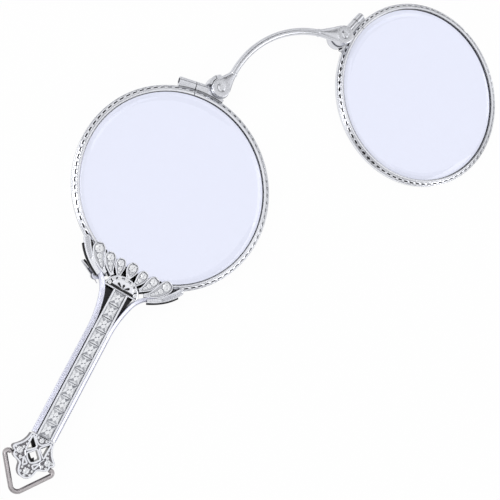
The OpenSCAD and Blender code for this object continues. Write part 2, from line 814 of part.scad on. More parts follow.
// The wire is swept along its centre line: shoulder, leg, bottom bend, leg and shoulder
module bail() {
  sides = 12;
  shoulder_steps = 9;
  bend_steps = 9;
  shoulder = [for (i = [0:shoulder_steps])
    let(a = 90 - (90 - leg_turn) * i / shoulder_steps) [[bail_half, -pin_y - shoulder_r] + polar(shoulder_r, a), a]];
  bend = [for (i = [0:bend_steps])
    let(a = leg_turn - (180 + 2 * leg_turn) * i / bend_steps) [[0, -bend_y] + polar(bend_r, a), a]];
  other = [for (i = [shoulder_steps:-1:0]) [flip(shoulder[i][0]), 180 - shoulder[i][1]]];
  path = concat([[[bail_end, -pin_y], 90]], shoulder, bend, other, [[[-bail_end, -pin_y], 90]]);
  rings = len(path);
  points = [for (p = path, i = [0:sides - 1])
    let(a = 360 * i / sides, q = p[0] + polar(wire_r * cos(a), p[1])) [q[0], q[1], wire_r * sin(a)]];
  walls = [for (k = [0:rings - 2], i = [0:sides - 1], h = [0, 1])
    let(n = (i + 1) % sides, a = k * sides + i, b = k * sides + n)
      h == 0 ? [a, a + sides, b] : [b, a + sides, b + sides]];
  last = (rings - 1) * sides;
  caps = concat([for (i = [1:sides - 2]) [0, i, i + 1]], [for (i = [1:sides - 2]) [last, last + i + 1, last + i]]);
  color("silver") at_handle(pin_z) {
    polyhedron(points, concat(walls, caps));
    both_sides() rod([lobe_edge - pin_hold, -pin_y], [bail_end + 0.2, -pin_y], bail_pin_r);
  }
}

// Release lever behind the neck: thumb piece, eye and catch in one, on its pin with a hairpin spring
module release_lever() {
  thumb_tip = lever_at + polar(thumb_len, thumb_at);
  catch_elbow = polar(rim_r + 0.55, catch_angle - 0.6);
  nose_r = rim_r - notch_d + 0.1;
  thumb_h = 1.7;
  color("silver") at_handle(lever_z) difference() {
    union() {
      linear_extrude(lever_t) {
        translate(lever_at) circle(lever_eye_r, $fn = small_fn);
        drop(lever_at, 0.5, thumb_tip, 0.22);
        drop(lever_at, 0.5, catch_elbow, 0.3);
        polygon([catch_elbow, polar(rim_r + 0.5, catch_angle + 0.5), polar(nose_r, catch_angle + 0.5), polar(nose_r, catch_angle - 0.4)]);
      }
      linear_extrude(thumb_h) drop(lever_at + polar(2, thumb_at), 0.2, thumb_tip, 0.21);
    }
    translate(lever_at) disc(lever_pin_r + run_gap, -over, lever_t + 2 * over);
  }
}

module lever_pin() {
  head_z = lever_z - face_gap - lever_head_h;
  pin_in = 1.1;
  color("darkgray") at_handle() translate(lever_at) {
    disc(lever_pin_r, head_z, mid_z + pin_in - head_z);
    disc(lever_pin_r + 0.25, head_z, lever_head_h);
  }
}

module lever_spring() {
  leaf = 0.12;
  leg = 1.5;
  coil_r = lever_pin_r + 0.08;
  height = 0.35;
  color("slategray") at_handle(lever_top + 0.1) translate(lever_at) {
    ring_part(coil_r, coil_r + leaf, 30, 330, height);
    for (s = [-1, 1]) rotate([0, 0, 30 * s]) translate([0, s > 0 ? coil_r : -coil_r - leaf, 0]) cube([leg, leaf, height]);
  }
}

rim_1();
lens_1();
closing_tube_1();
closing_screw_1();
pivot_drum_1();
pivot_spring_1();
pivot_rivet_1();
bridge_arm();
pivot_rivet_2();
rim_2();
lens_2();
closing_tube_2();
closing_screw_2();
pivot_drum_2();
pivot_spring_2();
rim_saddle();
fan_gallery();
fan_stones();
half_moon();
half_moon_stones();
handle_rails();
stone_channel();
channel_stones();
terminal();
terminal_stones();
bail();
release_lever();
lever_pin();
lever_spring();
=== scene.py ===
import math

import bmesh
import bpy
from mathutils import Matrix, Vector


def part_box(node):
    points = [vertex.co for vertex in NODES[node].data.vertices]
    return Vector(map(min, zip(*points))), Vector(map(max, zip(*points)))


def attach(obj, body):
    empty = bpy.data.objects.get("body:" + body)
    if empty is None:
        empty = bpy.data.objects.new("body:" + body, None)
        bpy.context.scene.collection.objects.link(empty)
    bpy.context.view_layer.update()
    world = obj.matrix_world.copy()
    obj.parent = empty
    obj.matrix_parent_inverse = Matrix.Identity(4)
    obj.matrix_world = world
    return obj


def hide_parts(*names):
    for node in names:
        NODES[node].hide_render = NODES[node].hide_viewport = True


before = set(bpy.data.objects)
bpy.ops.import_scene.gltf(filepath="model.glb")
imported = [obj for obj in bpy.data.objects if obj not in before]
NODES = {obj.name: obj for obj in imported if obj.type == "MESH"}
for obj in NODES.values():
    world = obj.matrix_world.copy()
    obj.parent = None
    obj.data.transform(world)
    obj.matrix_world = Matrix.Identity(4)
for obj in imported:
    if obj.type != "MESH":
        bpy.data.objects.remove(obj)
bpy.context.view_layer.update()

bl_info = {
    "name": "Folding Lorgnette",
    "version": (1, 0, 0),
    "blender": (4, 5, 0),
    "location": "View3D > Sidebar > Lorgnette",
    "description": "Dresses the packed lorgnette with engraved rims, a jewelled handle and a ribbon bail",
    "category": "Add Mesh",
}

MM = 0.001


# Places, taken from the frame

def middle(node):
    low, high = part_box(node)
    return (low + high) / 2


LENS_1 = middle("lens_1")
LENS_2 = middle("lens_2")
PIVOT_1 = middle("pivot_rivet_1")
PIVOT_2 = middle("pivot_rivet_2")
HANDLE_TURN = -51.0
CHORD = (PIVOT_2 - PIVOT_1).to_2d().length / MM
CHORD_TURN = math.degrees(math.atan2(PIVOT_2.y - PIVOT_1.y, PIVOT_2.x - PIVOT_1.x))


def place(origin, turn=0.0):
    """Millimetres about a point of the frame, turned in degrees, with z counted from the floor"""
    spot = Matrix.Translation((origin.x, origin.y, 0.0))
    return spot @ Matrix.Rotation(math.radians(turn), 4, "Z") @ Matrix.Scale(MM, 4)


AT_LENS_1 = place(LENS_1)
AT_LENS_2 = place(LENS_2)
AT_HANDLE = place(LENS_1, HANDLE_TURN)
AT_BRIDGE = place(PIVOT_1, CHORD_TURN)

# Sizes in millimetres that follow the solids
RIM_R = 20.5
RIM_W = 1.4
RIM_H = 1.7
MID_Z = 1.9
FRONT_Z = MID_Z + RIM_H
ARM_Z = 3.4
ARM_TOP = 4.5
FAN_TOP = FRONT_Z + 0.6
PIVOT_R = 22.7
ARCH_R = 20.75
ARCH_W = 1.45
DISC_R = 1.95
SPLIT_1 = 55.0
SPLIT_2 = 114.0
TUBE_AT = 21.43
CHANNEL_TOP = RIM_R + 3.2
STONES_IN_ROW = 11
STONE_PITCH = 2.74
STONE_W = 2.3
STONE_LEN = 2.6
CHANNEL_H = 2.7
CHANNEL_END = CHANNEL_TOP + STONES_IN_ROW * STONE_PITCH
RAIL_IN = 1.56
RAIL_H = 2.35
SPREAD_Y = RIM_R + 11.7
PIN_Y = CHANNEL_END + 4.8
PIN_Z = MID_Z + 1.1
TERMINAL_TOP = MID_Z + 2.2

# Petals of the fan: foot, bend, tip, half width, and stones as (distance from the tip, radius)
PETALS = (
    ((0, -20.9), (0, -19.5), (0, -17.25), 1.18, ((1.18, 0.79), (2.22, 0.2))),
    ((1.7, -21.3), (2.25, -20.2), (2.75, -17.65), 1.06, ((1.06, 0.65), (2.17, 0.42), (2.9, 0.26))),
    ((3.0, -21.5), (4.4, -20.5), (5.25, -17.6), 1.15,
     ((1.15, 0.73), (2.38, 0.46), (3.16, 0.28), (3.67, 0.19))),
    ((4.4, -21.8), (6.9, -20.6), (8.1, -17.1), 1.3,
     ((1.3, 0.86), (2.73, 0.53), (3.64, 0.34), (4.28, 0.25), (4.75, 0.17))),
    ((5.4, -22.5), (8.9, -20.8), (10.9, -17.2), 0.66, ()),
)
PETAL_FOOT = 0.42
LEAST_HALF = 0.04

# The half moon, by its half width and height and the middle of its foot
MOON = (3.62, 2.98)
MOON_BASE = (0.0, -23.64)


def length_value(name, description, default):
    """A property in metres, from a default in millimetres"""
    return bpy.props.FloatProperty(
        name=name, description=description, default=default * MM, unit="LENGTH", precision=5)


def colour_value(name, description, default):
    return bpy.props.FloatVectorProperty(
        name=name, description=description, default=default, subtype="COLOR", size=3, min=0, max=1)


class LorgnetteSizes(bpy.types.PropertyGroup):
    """Sizes of the dressed parts that a user may change"""

    leaf_count: bpy.props.IntProperty(
        name="Leaves round a rim", description="Engraved leaves in one turn of a rim",
        default=84, min=20, max=90)
    cut_depth: length_value("Cut depth", "Depth of the engraving", 0.11)
    bead_radius: length_value("Bead radius", "Radius of the rolled beads along an edge", 0.11)
    bead_spacing: length_value("Bead spacing", "Distance from one rolled bead to the next", 0.24)
    wire_radius: length_value("Wire radius", "Radius of the wire of the bail", 0.46)


class LorgnetteFinish(bpy.types.PropertyGroup):
    """Colours of the metals, the lenses and the stones"""

    platinum: colour_value("Platinum", "Colour of the polished metal", (0.68, 0.69, 0.73))
    # Painted shade: the colour that cuts, narrow gaps and the dark strips and slabs are given for the shade
    # that falls there
    shadowed: colour_value("Recess shade", "Colour of the metal at the bottom of a cut", (0.03, 0.03, 0.032))
    rails: colour_value("Rails", "Colour of the plain rails of the handle", (0.64, 0.65, 0.76))
    # Painted shade: the ground under set stones is dark for the shade that falls between them
    ground: colour_value("Ground", "Colour of the ground under set stones", (0.24, 0.23, 0.25))
    wire: colour_value("Bail wire", "Colour of the drawn wire of the bail", (0.52, 0.49, 0.5))
    steel: colour_value("Steel", "Colour of screws, pins and springs", (0.55, 0.55, 0.56))
    glass: colour_value("Lens tint", "Tint of the lenses", (0.82, 0.845, 0.985))
    stone: colour_value("Stones", "Tint of the stones", (0.95, 0.965, 1.0))


def sizes():
    return bpy.context.scene.lorgnette_sizes


def finish():
    return bpy.context.scene.lorgnette_finish


# Shapes as (points, faces, cut shades), in millimetres; a cut shade is how far the metal shader paints a
# point with shade

def around(centre, radius, angle):
    """The point at a distance from a centre, in a direction given in radians"""
    return centre[0] + radius * math.cos(angle), centre[1] + radius * math.sin(angle)


def loft(rings, closed=False, cut_shades=None):
    """Skin over rings of points; open ends get a cap"""
    count = len(rings[0])
    points = [p for ring in rings for p in ring]
    faces = []
    last = len(rings) if closed else len(rings) - 1
    for i in range(last):
        a, b = i * count, (i + 1) % len(rings) * count
        for j in range(count):
            k = (j + 1) % count
            faces.append((a + j, a + k, b + k, b + j))
    if not closed:
        faces.append(tuple(range(count))[::-1])
        faces.append(tuple(range(len(points) - count, len(points))))
    flat = [c for ring in cut_shades for c in ring] if cut_shades else [0.0] * len(points)
    return points, faces, flat


def turned_shape(profile, centre, steps=64):
    """A closed outline of (radius, height) turned about an upright axis"""
    rings = []
    for i in range(steps):
        a = math.tau * i / steps
        rings.append([(*around(centre, r, a), h) for r, h in profile])
    return loft(rings, closed=True)


def round_section(radius, sides):
    return [around((0, 0), radius, math.tau * i / sides) for i in range(sides)]


def sweep(path, section, closed=False, cut_shades=None):
    """A section of (side, height) carried along level points; section may be a list, one for each point"""
    rings = []
    n = len(path)
    for i, p in enumerate(path):
        before = path[i - 1] if closed or i else path[0]
        after = path[(i + 1) % n] if closed or i < n - 1 else path[-1]
        along = Vector((after[0] - before[0], after[1] - before[1])).normalized()
        here = section[i] if isinstance(section[0], list) else section
        rings.append([(p[0] + along.y * s, p[1] - along.x * s, p[2] + h) for s, h in here])
    return loft(rings, closed=closed, cut_shades=cut_shades)


def arc(centre, radius, start, end, steps, z):
    out = []
    for i in range(steps + 1):
        a = math.radians(start + (end - start) * i / steps)
        out.append((*around(centre, radius, a), z))
    return out


def smoothed(points, closed, rounds=2, corner=0.2):
    """Corners cut back round by round, so that a bent line has no kinks"""
    for _ in range(rounds):
        out = []
        pairs = zip(points, points[1:] + points[:1]) if closed else zip(points, points[1:])
        for p, q in pairs:
            for t in (corner, 1 - corner):
                out.append(tuple(a + (b - a) * t for a, b in zip(p, q)))
        points = out if closed else [points[0]] + out + [points[-1]]
    return points


def drop_loop(p, r, q, s, z, steps=14):
    """The outline round two circles and their outer tangents"""
    gap = math.hypot(q[0] - p[0], q[1] - p[1])
    a = math.degrees(math.atan2(q[1] - p[1], q[0] - p[0]))
    b = math.degrees(math.acos((r - s) / gap))
    return arc(p, r, a + b, a - b + 360, steps, z) + arc(q, s, a - b, a + b, steps, z)


def sector(centre, inner, outer, start, end, low, high, steps=12, cut=0.0):
    """Part of a ring with an eased outer edge"""
    ease = 0.12
    rings = []
    for i in range(steps + 1):
        a = math.radians(start + (end - start) * i / steps)
        edge = [(inner, low), (outer, low), (outer, high - ease), (outer - ease, high), (inner, high)]
        rings.append([(*around(centre, r, a), h) for r, h in edge])
    return loft(rings, cut_shades=[[cut] * 5 for _ in rings])


def slab(outline, low, high, cut=0.0, soft=0.05):
    """A flat piece with an eased upper edge"""
    middle_x = sum(p[0] for p in outline) / len(outline)
    middle_y = sum(p[1] for p in outline) / len(outline)
    rings = []
    for z, inset in ((low, 0.0), (high - soft, 0.0), (high, soft)):
        ring = []
        for p in outline:
            reach = math.hypot(p[0] - middle_x, p[1] - middle_y)
            keep = 1 - inset / reach
            ring.append((middle_x + (p[0] - middle_x) * keep, middle_y + (p[1] - middle_y) * keep, z))
        rings.append(ring)
    return loft(rings, cut_shades=[[cut] * len(outline) for _ in rings])


def pierced(loops, low, high, cut):
    """A plate whose first loop is its outline and whose other loops are openings"""
    weld = 0.002
    curve = bpy.data.curves.new("pierced", "CURVE")
    curve.dimensions = "2D"
    curve.fill_mode = "BOTH"
    curve.extrude = (high - low) / 2
    for loop in loops:
        spline = curve.splines.new("POLY")
        spline.points.add(len(loop) - 1)
        for point, p in zip(spline.points, loop):
            point.co = (p[0], p[1], 0, 1)
        spline.use_cyclic_u = True
    carrier = new_object("pierced", curve)
    graph = bpy.context.evaluated_depsgraph_get()
    graph.update()
    mesh = bpy.data.meshes.new_from_object(carrier.evaluated_get(graph))
    bpy.data.objects.remove(carrier)
    work = bmesh.new()
    work.from_mesh(mesh)
    bmesh.ops.remove_doubles(work, verts=work.verts, dist=weld)
    work.verts.index_update()
    half = (low + high) / 2
    points = [(v.co.x, v.co.y, v.co.z + half) for v in work.verts]
    faces = [tuple(v.index for v in f.verts) for f in work.faces]
    work.free()
    bpy.data.meshes.remove(mesh)
    return points, faces, [cut] * len(points)


def bent_line(foot, bend, tip, steps=40):
    """Points from foot to tip past a bend, closer together at the tip, with their distances from the foot"""
    crowding = 1.7
    line = []
    for i in range(steps + 1):
        t = 1 - (1 - i / steps) ** crowding
        shares = (1 - t) ** 2, 2 * t * (1 - t), t * t
        line.append(tuple(shares[0] * a + shares[1] * b + shares[2] * c for a, b, c in zip(foot, bend, tip)))
    reach = [0.0]
    for a, b in zip(line, line[1:]):
        reach.append(reach[-1] + math.dist(a, b))
    return line, reach


def spot_on(line, reach, left, side=0.0):
    """The point that lies a distance before the tip, set off to one side"""
    at = reach[-1] - left
    i = max(k for k in range(len(line) - 1) if reach[k] <= at)
    along = Vector((line[i + 1][0] - line[i][0], line[i + 1][1] - line[i][1])).normalized()
    step = at - reach[i]
    return line[i][0] + along.x * step + along.y * side, line[i][1] + along.y * step - along.x * side


def petal_widths(reach, width):
    """For each point of a petal its distances from foot and tip, and half its width there"""
    rows = []
    for at in reach:
        left = reach[-1] - at
        rise = min(1.0, 1.2 * at / (reach[-1] - width))
        half = PETAL_FOOT + (width - PETAL_FOOT) * rise * rise * (3 - 2 * rise)
        if left < width:
            half = width * math.sqrt(max(0.0, 1 - (1 - left / width) ** 2))
        rows.append((at, left, half))
    return rows


def petal(foot, bend, tip, width, low, high, sunk, sunk_to):
    """A petal with a raised border round a floor that is sunk and shaded up to a distance from the tip"""
    border, edge, shade = 0.36, 0.08, 2.2
    line, reach = bent_line(foot, bend, tip)
    sections, rows = [], []
    for at, left, half in petal_widths(reach, width):
        half = max(half, LEAST_HALF)
        part = min(1.0, half / (border + edge))
        b = border * part
        deep = sunk * min(part, max(0.0, sunk_to - left) / 0.3, max(0.0, left - 0.24) / 0.16,
                          max(0.0, at - 0.2) / 0.2)
        right = [(half, low), (half, high - 0.1), (half - 0.14 * b, high - 0.02), (half - 0.3 * b, high),
                 (half - 0.78 * b, high), (half - b, high - 0.03 - deep)]
        sections.append(right + flipped(right)[::-1])
        rows.append([0.0] * 5 + [shade * deep] * 2 + [0.0] * 5)
    return sweep([(x, y, 0.0) for x, y in line], sections, cut_shades=rows)


def petal_ground(foot, bend, tip, width, low, high):
    """The ground round a petal, dark with painted shade, which stops short of its tip"""
    grow, clear_of_tip = 0.34, 1.45
    line, reach = bent_line(foot, bend, tip)
    sections = []
    for _, left, half in petal_widths(reach, width):
        half = half + grow if left > clear_of_tip else max(LEAST_HALF, half - 0.15)
        sections.append([(half, low), (half, high), (-half, high), (-half, low)])
    return sweep([(x, y, 0.0) for x, y in line], sections, cut_shades=[[1.0] * 4 for _ in line])


def dome(centre, heading, radius, bulge, z):
    """A rounded end on a lying tube"""
    along = around((0, 0), 1, math.radians(heading))
    steps, sides, least = 8, 28, 0.02
    rings = []
    for k in range(steps + 1):
        a = math.pi / 2 * k / steps
        r, out = max(least, radius * math.cos(a)), bulge * math.sin(a)
        rings.append([(centre[0] + along[0] * out - along[1] * r * math.cos(b),
                       centre[1] + along[1] * out + along[0] * r * math.cos(b), z + r * math.sin(b))
                      for b in (math.tau * i / sides for i in range(sides))])
    return loft(rings)


def flipped(points):
    return [(-p[0], *p[1:]) for p in points]


def mirrored(shape):
    return flipped(shape[0]), *shape[1:]


def lifted(shape, z):
    return [(p[0], p[1], p[2] + z) for p in shape[0]], *shape[1:]


# Objects

def new_object(name, data):
    thing = bpy.data.objects.new(name, data)
    bpy.context.scene.collection.objects.link(thing)
    return thing


def settle(thing, body, replaced):
    if replaced:
        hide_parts(*replaced)
    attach(thing, body)


def build(name, shapes, material, replaced=(), spot=AT_HANDLE, body="handle", crease=32.0):
    """One piece from closed shapes, with its place in its mesh"""
    points, faces, cut_shades = [], [], []
    for shape in shapes:
        start = len(points)
        points += [spot @ Vector(p) for p in shape[0]]
        faces += [tuple(start + i for i in f) for f in shape[1]]
        cut_shades += shape[2]
    mesh = bpy.data.meshes.new(name)
    mesh.from_pydata(points, [], faces)
    # The cut attribute is the share of painted shade that the metal shader gives each point
    depth = mesh.attributes.new("cut", "FLOAT", "POINT")
    depth.data.foreach_set("value", cut_shades)
    work = bmesh.new()
    work.from_mesh(mesh)
    bmesh.ops.recalc_face_normals(work, faces=work.faces)
    work.to_mesh(mesh)
    work.free()
    mesh.shade_smooth()
    mesh.set_sharp_from_angle(angle=math.radians(crease))
    mesh.materials.append(material)
    settle(new_object(name, mesh), body, replaced)


def dress(material, *names):
    """CAD nodes keep their shapes and get a better material"""
    for name in names:
        mesh = NODES[name].data
        if not mesh.materials:
            mesh.materials.append(material)
        for i in range(len(mesh.materials)):
            mesh.materials[i] = material


# Node trees

def fill(tree, made, inputs):
    """Gives inputs of a node their values, or links them to outputs of other nodes"""
    for name, value in inputs.items():
        if isinstance(value, bpy.types.NodeSocket):
            tree.links.new(value, made.inputs[name])
        else:
            made.inputs[name].default_value = value
    return made


def node(tree, kind, inputs=None, **settings):
    made = tree.nodes.new(kind)
    for name, value in settings.items():
        setattr(made, name, value)
    return fill(tree, made, inputs or {})


def maths(tree, operation, *inputs, clamp=False):
    made = node(tree, "ShaderNodeMath", dict(enumerate(inputs)), operation=operation, use_clamp=clamp)
    return made.outputs[0]


def sockets(tree, way, rows):
    """Named inputs or outputs of a tree, each (name, kind) or (name, kind, value)"""
    for name, kind, *value in rows:
        made = tree.interface.new_socket(name, in_out=way, socket_type="NodeSocket" + kind)
        if value:
            made.default_value = value[0]


def new_tree(name, kind, inputs, outputs):
    """A tree with its sockets, and the outputs of its input node"""
    tree = bpy.data.node_groups.new(name, kind)
    sockets(tree, "INPUT", inputs)
    sockets(tree, "OUTPUT", outputs)
    return tree, node(tree, "NodeGroupInput").outputs


# Geometry node trees, each built once

def shape_tree(name, inputs):
    inputs = (("Geometry", "Geometry"), *inputs, ("Material", "Material"))
    return new_tree(name, "GeometryNodeTree", inputs, (("Geometry", "Geometry"),))


def finish_tree(tree, copies, given):
    real = node(tree, "GeometryNodeRealizeInstances", {0: copies.outputs[0]})
    paint = node(tree, "GeometryNodeSetMaterial", {
        "Geometry": real.outputs[0], "Material": given["Material"]})
    node(tree, "NodeGroupOutput", {0: paint.outputs[0]})
    return tree


def places_tree():
    """Sets a copy of one piece on each point, with the size and turn that the point carries"""
    name = "set_on_places"
    if name in bpy.data.node_groups:
        return bpy.data.node_groups[name]
    tree, given = shape_tree(name, (("Piece", "Object"), ("Scale", "Float", 1.0)))
    info = node(tree, "GeometryNodeObjectInfo", {"Object": given["Piece"]})
    size = node(tree, "GeometryNodeInputNamedAttribute", {"Name": "size"}, data_type="FLOAT")
    turn = node(tree, "GeometryNodeInputNamedAttribute", {"Name": "turn"}, data_type="FLOAT_VECTOR")
    euler = node(tree, "FunctionNodeEulerToRotation", {0: turn.outputs["Attribute"]})
    copies = node(tree, "GeometryNodeInstanceOnPoints", {
        "Points": given["Geometry"], "Instance": info.outputs["Geometry"], "Rotation": euler.outputs[0],
        "Scale": maths(tree, "MULTIPLY", size.outputs["Attribute"], given["Scale"])})
    return finish_tree(tree, copies, given)


def beads_tree():
    """Sets rolled beads along the lines of a mesh at an even spacing"""
    name = "beads_along_lines"
    if name in bpy.data.node_groups:
        return bpy.data.node_groups[name]
    tree, given = shape_tree(name, (("Spacing", "Float", 0.00024), ("Bead Radius", "Float", 0.00011)))
    curve = node(tree, "GeometryNodeMeshToCurve", {"Mesh": given["Geometry"]})
    even = node(tree, "GeometryNodeResampleCurve", {"Curve": curve.outputs[0], "Length": given["Spacing"]},
                mode="LENGTH")
    ball = node(tree, "GeometryNodeMeshUVSphere", {"Segments": 8, "Rings": 5, "Radius": given["Bead Radius"]})
    smooth = node(tree, "GeometryNodeSetShadeSmooth", {"Geometry": ball.outputs["Mesh"]})
    copies = node(tree, "GeometryNodeInstanceOnPoints", {
        "Points": even.outputs[0], "Instance": smooth.outputs[0]})
    return finish_tree(tree, copies, given)


def run_tree(name, mesh, tree, values, replaced=()):
    """The tree's result as a plain mesh on a fresh object of the handle"""
    carrier = new_object(name + "_lines", mesh)
    step = carrier.modifiers.new("repeat", "NODES")
    step.node_group = tree
    for item in tree.interface.items_tree:
        if item.in_out == "INPUT" and item.name in values:
            step[item.identifier] = values[item.name]
    graph = bpy.context.evaluated_depsgraph_get()
    graph.update()
    plain = bpy.data.meshes.new_from_object(carrier.evaluated_get(graph), depsgraph=graph)
    carrier.modifiers.remove(step)
    bpy.data.objects.remove(carrier)
    plain.name = name
    if not plain.polygons:
        raise RuntimeError(f"{name} came out empty")
    settle(new_object(name, plain), "handle", replaced)


def repeat(name, model, spots, material, replaced=()):
    """Copies of a model on the handle, each at (x, y, z, size, turn, lean) in millimetres and degrees"""
    mesh = bpy.data.meshes.new(name + "_points")
    mesh.from_pydata([AT_HANDLE @ Vector(s[:3]) for s in spots], [], [])
    size = mesh.attributes.new("size", "FLOAT", "POINT")
    size.data.foreach_set("value", [s[3] * MM for s in spots])
    angles = []
    for s in spots:
        turn, lean = (*s[4:], 0.0, 0.0)[:2]
        angles += [0.0, math.radians(lean), math.radians(turn) + AT_HANDLE.to_euler().z]
    mesh.attributes.new("turn", "FLOAT_VECTOR", "POINT").data.foreach_set("vector", angles)
    source = new_object(name + "_model", model)
    values = {"Piece": source, "Scale": 1.0, "Material": material}
    run_tree(name, mesh, places_tree(), values, replaced)
    bpy.data.objects.remove(source)


def bead_rows(name, rows, radius, spacing):
    """Rolled beads on the handle, along rows of (x, y, z) points in millimetres"""
    points, edges = [], []
    for row in rows:
        start = len(points)
        points += [AT_HANDLE @ Vector(p) for p in row]
        edges += [(start + i, start + i + 1) for i in range(len(row) - 1)]
    mesh = bpy.data.meshes.new(name + "_rows")
    mesh.from_pydata(points, edges, [])
    values = {"Spacing": spacing, "Bead Radius": radius, "Material": engraved()}
    run_tree(name, mesh, beads_tree(), values)


def round_prongs(x, y, z, reach, size):
    """The four beads that hold a large stone"""
    return [(*around((x, y), reach, math.radians(a)), z, size) for a in (45, 135, 225, 315)]


# Models of stones, one unit across from centre to girdle

def model_mesh(name, points, faces, smooth=False, facet_reflections=None):
    mesh = bpy.data.meshes.new(name)
    mesh.from_pydata(points, [], faces)
    work = bmesh.new()
    work.from_mesh(mesh)
    bmesh.ops.recalc_face_normals(work, faces=work.faces)
    work.to_mesh(mesh)
    work.free()
    # Painted reflection: each face keeps how dark its reflection is painted
    facet_reflection = mesh.attributes.new("facet_reflection", "FLOAT", "FACE")
    facet_reflection.data.foreach_set("value", facet_reflections or [0.0] * len(faces))
    if smooth:
        mesh.shade_smooth()
    return mesh


def brilliant(name):
    """A round stone: table, star facets, kites, girdle and pavilion"""
    table_r, star_r, crown_h, star_h = 0.56, 0.8, 0.33, 0.2
    girdle_h, pavilion_h = 0.05, 0.72
    points, faces = [], []

    def ring(radius, z, count, offset):
        start = len(points)
        for i in range(count):
            points.append((*around((0, 0), radius, math.tau * (i + offset) / count), z))
        return [start + i for i in range(count)]

    table = ring(table_r, crown_h, 8, 0.0)
    star = ring(star_r, star_h, 8, 0.5)
    upper = ring(1.0, girdle_h / 2, 16, 0.0)
    lower = ring(1.0, -girdle_h / 2, 16, 0.0)
    points += [(0, 0, -pavilion_h), (0, 0, crown_h + 0.02)]
    culet, centre = len(points) - 2, len(points) - 1
    # Painted reflection: a darkness for each facet, 0 for the stone's tint and 1 for the dark colour
    facet_reflections = []
    for i in range(8):
        j, before = (i + 1) % 8, (i - 1) % 8
        mid, far = upper[2 * i + 1], upper[(2 * i + 2) % 16]
        faces += [(table[i], table[j], centre), (table[i], table[j], star[i]),
                  (table[i], star[before], upper[2 * i], star[i]),
                  (star[i], upper[2 * i], mid), (star[i], mid, far)]
        facet_reflections += [(0.0, 0.6, 0.0, 0.15)[i % 4], 0.0, 0.0, (0.75, 0.3)[i % 2], 0.0]
    for i in range(16):
        j = (i + 1) % 16
        faces += [(upper[i], upper[j], lower[j], lower[i]), (lower[i], lower[j], culet)]
        facet_reflections += [1.0, 0.6]
    return model_mesh(name, points, faces, facet_reflections=facet_reflections)


def french_cut(name, half_w, half_len):
    """A square stone whose table stands on its corner, over crossing pavilion facets"""
    crown_h, table_part, star_part, pavilion_h = 0.36, 0.72, 0.42, 0.85
    girdle_h, swell, step_part, step_down = 0.06, 0.012, 0.45, 0.6
    corners = [(1, 1), (-1, 1), (-1, -1), (1, -1)]
    sides = [(1, 0), (0, 1), (-1, 0), (0, -1)]
    points = [(x * half_w * table_part, y * half_len * table_part, crown_h) for x, y in sides]
    for z in (girdle_h / 2, -girdle_h / 2):
        for i in range(4):
            points.append((sides[i][0] * half_w, sides[i][1] * half_len, z))
            points.append((corners[i][0] * half_w, corners[i][1] * half_len, z))
    low = len(points)
    for x, y in corners:
        points.append((x * half_w * step_part, y * half_len * step_part, -step_down * pavilion_h))
    points.append((0, 0, -pavilion_h))
    culet = len(points) - 1
    inner = len(points)
    for x, y in corners:
        points.append((x * half_w * table_part / 2, y * half_len * table_part / 2, crown_h))
    for x, y in sides:
        points.append((x * half_w * table_part * star_part, y * half_len * table_part * star_part,
                       crown_h + swell))
    points.append((0, 0, crown_h + 0.02))
    heart = len(points) - 1
    # Painted reflection: a darkness for each facet, 0 for the stone's tint and 1 for the dark colour
    faces, facet_reflections = [], []
    for i in range(4):
        j = (i + 1) % 4
        side, corner, next_side = 4 + 2 * i, 5 + 2 * i, 4 + 2 * j
        edge, star, next_star = inner + i, inner + 4 + i, inner + 4 + j
        faces += [(i, edge, star), (j, next_star, edge), (star, edge, heart), (edge, next_star, heart)]
        facet_reflections += [0.0, (0.0, 0.3)[i % 2], (0.9, 0.0)[i % 2], 0.0]
        faces += [(i, side, corner), (i, corner, edge), (edge, corner, j), (j, corner, next_side)]
        facet_reflections += [0.0, (0.0, 0.55)[i % 2], (0.8, 0.0)[i % 2], 0.05]
        for a, b in ((side, corner), (corner, next_side)):
            faces.append((a, b, b + 8, a + 8))
            facet_reflections.append(1.0)
        faces += [(corner + 8, low + i, side + 8), (corner + 8, next_side + 8, low + i),
                  (low + i, next_side + 8, low + j), (low + i, low + j, culet)]
        facet_reflections += [0.5, 0.8, 0.6, 0.7]
    return model_mesh(name, points, faces, facet_reflections=facet_reflections)


def hatch_model(name):
    """One graver's stroke, raised and pointed at both ends"""
    half_w, rise, foot = 0.24, 0.26, -0.2
    points = [(1, 0, 0), (0, half_w, 0), (-1, 0, 0), (0, -half_w, 0), (0, 0, rise), (0, 0, foot)]
    faces = [(i, (i + 1) % 4, top) for top in (4, 5) for i in range(4)]
    return model_mesh(name, points, faces)


def bead_model(name):
    """The upper half of a ball"""
    points, faces = [], []
    rows, count = 4, 8
    for r in range(rows):
        a = math.pi / 2 * r / rows
        for i in range(count):
            points.append((*around((0, 0), math.cos(a), math.tau * i / count), math.sin(a)))
    points.append((0, 0, 1))
    for r in range(rows - 1):
        for i in range(count):
            j = (i + 1) % count
            faces.append((r * count + i, r * count + j, (r + 1) * count + j, (r + 1) * count + i))
    top = (rows - 1) * count
    for i in range(count):
        faces.append((top + i, top + (i + 1) % count, len(points) - 1))
    faces.append(tuple(range(count))[::-1])
    return model_mesh(name, points, faces, smooth=True)


# Materials

def new_material(name):
    material = bpy.data.materials.new(name)
    material.use_nodes = True
    return material, material.node_tree


def mix_surface(tree, share, first, second):
    """The surface is the first shader where share is 0 and the second where it is 1"""
    both = node(tree, "ShaderNodeMixShader", {0: share, 1: first.outputs[0], 2: second.outputs[0]})
    fill(tree, tree.nodes["Material Output"], {"Surface": both.outputs[0]})


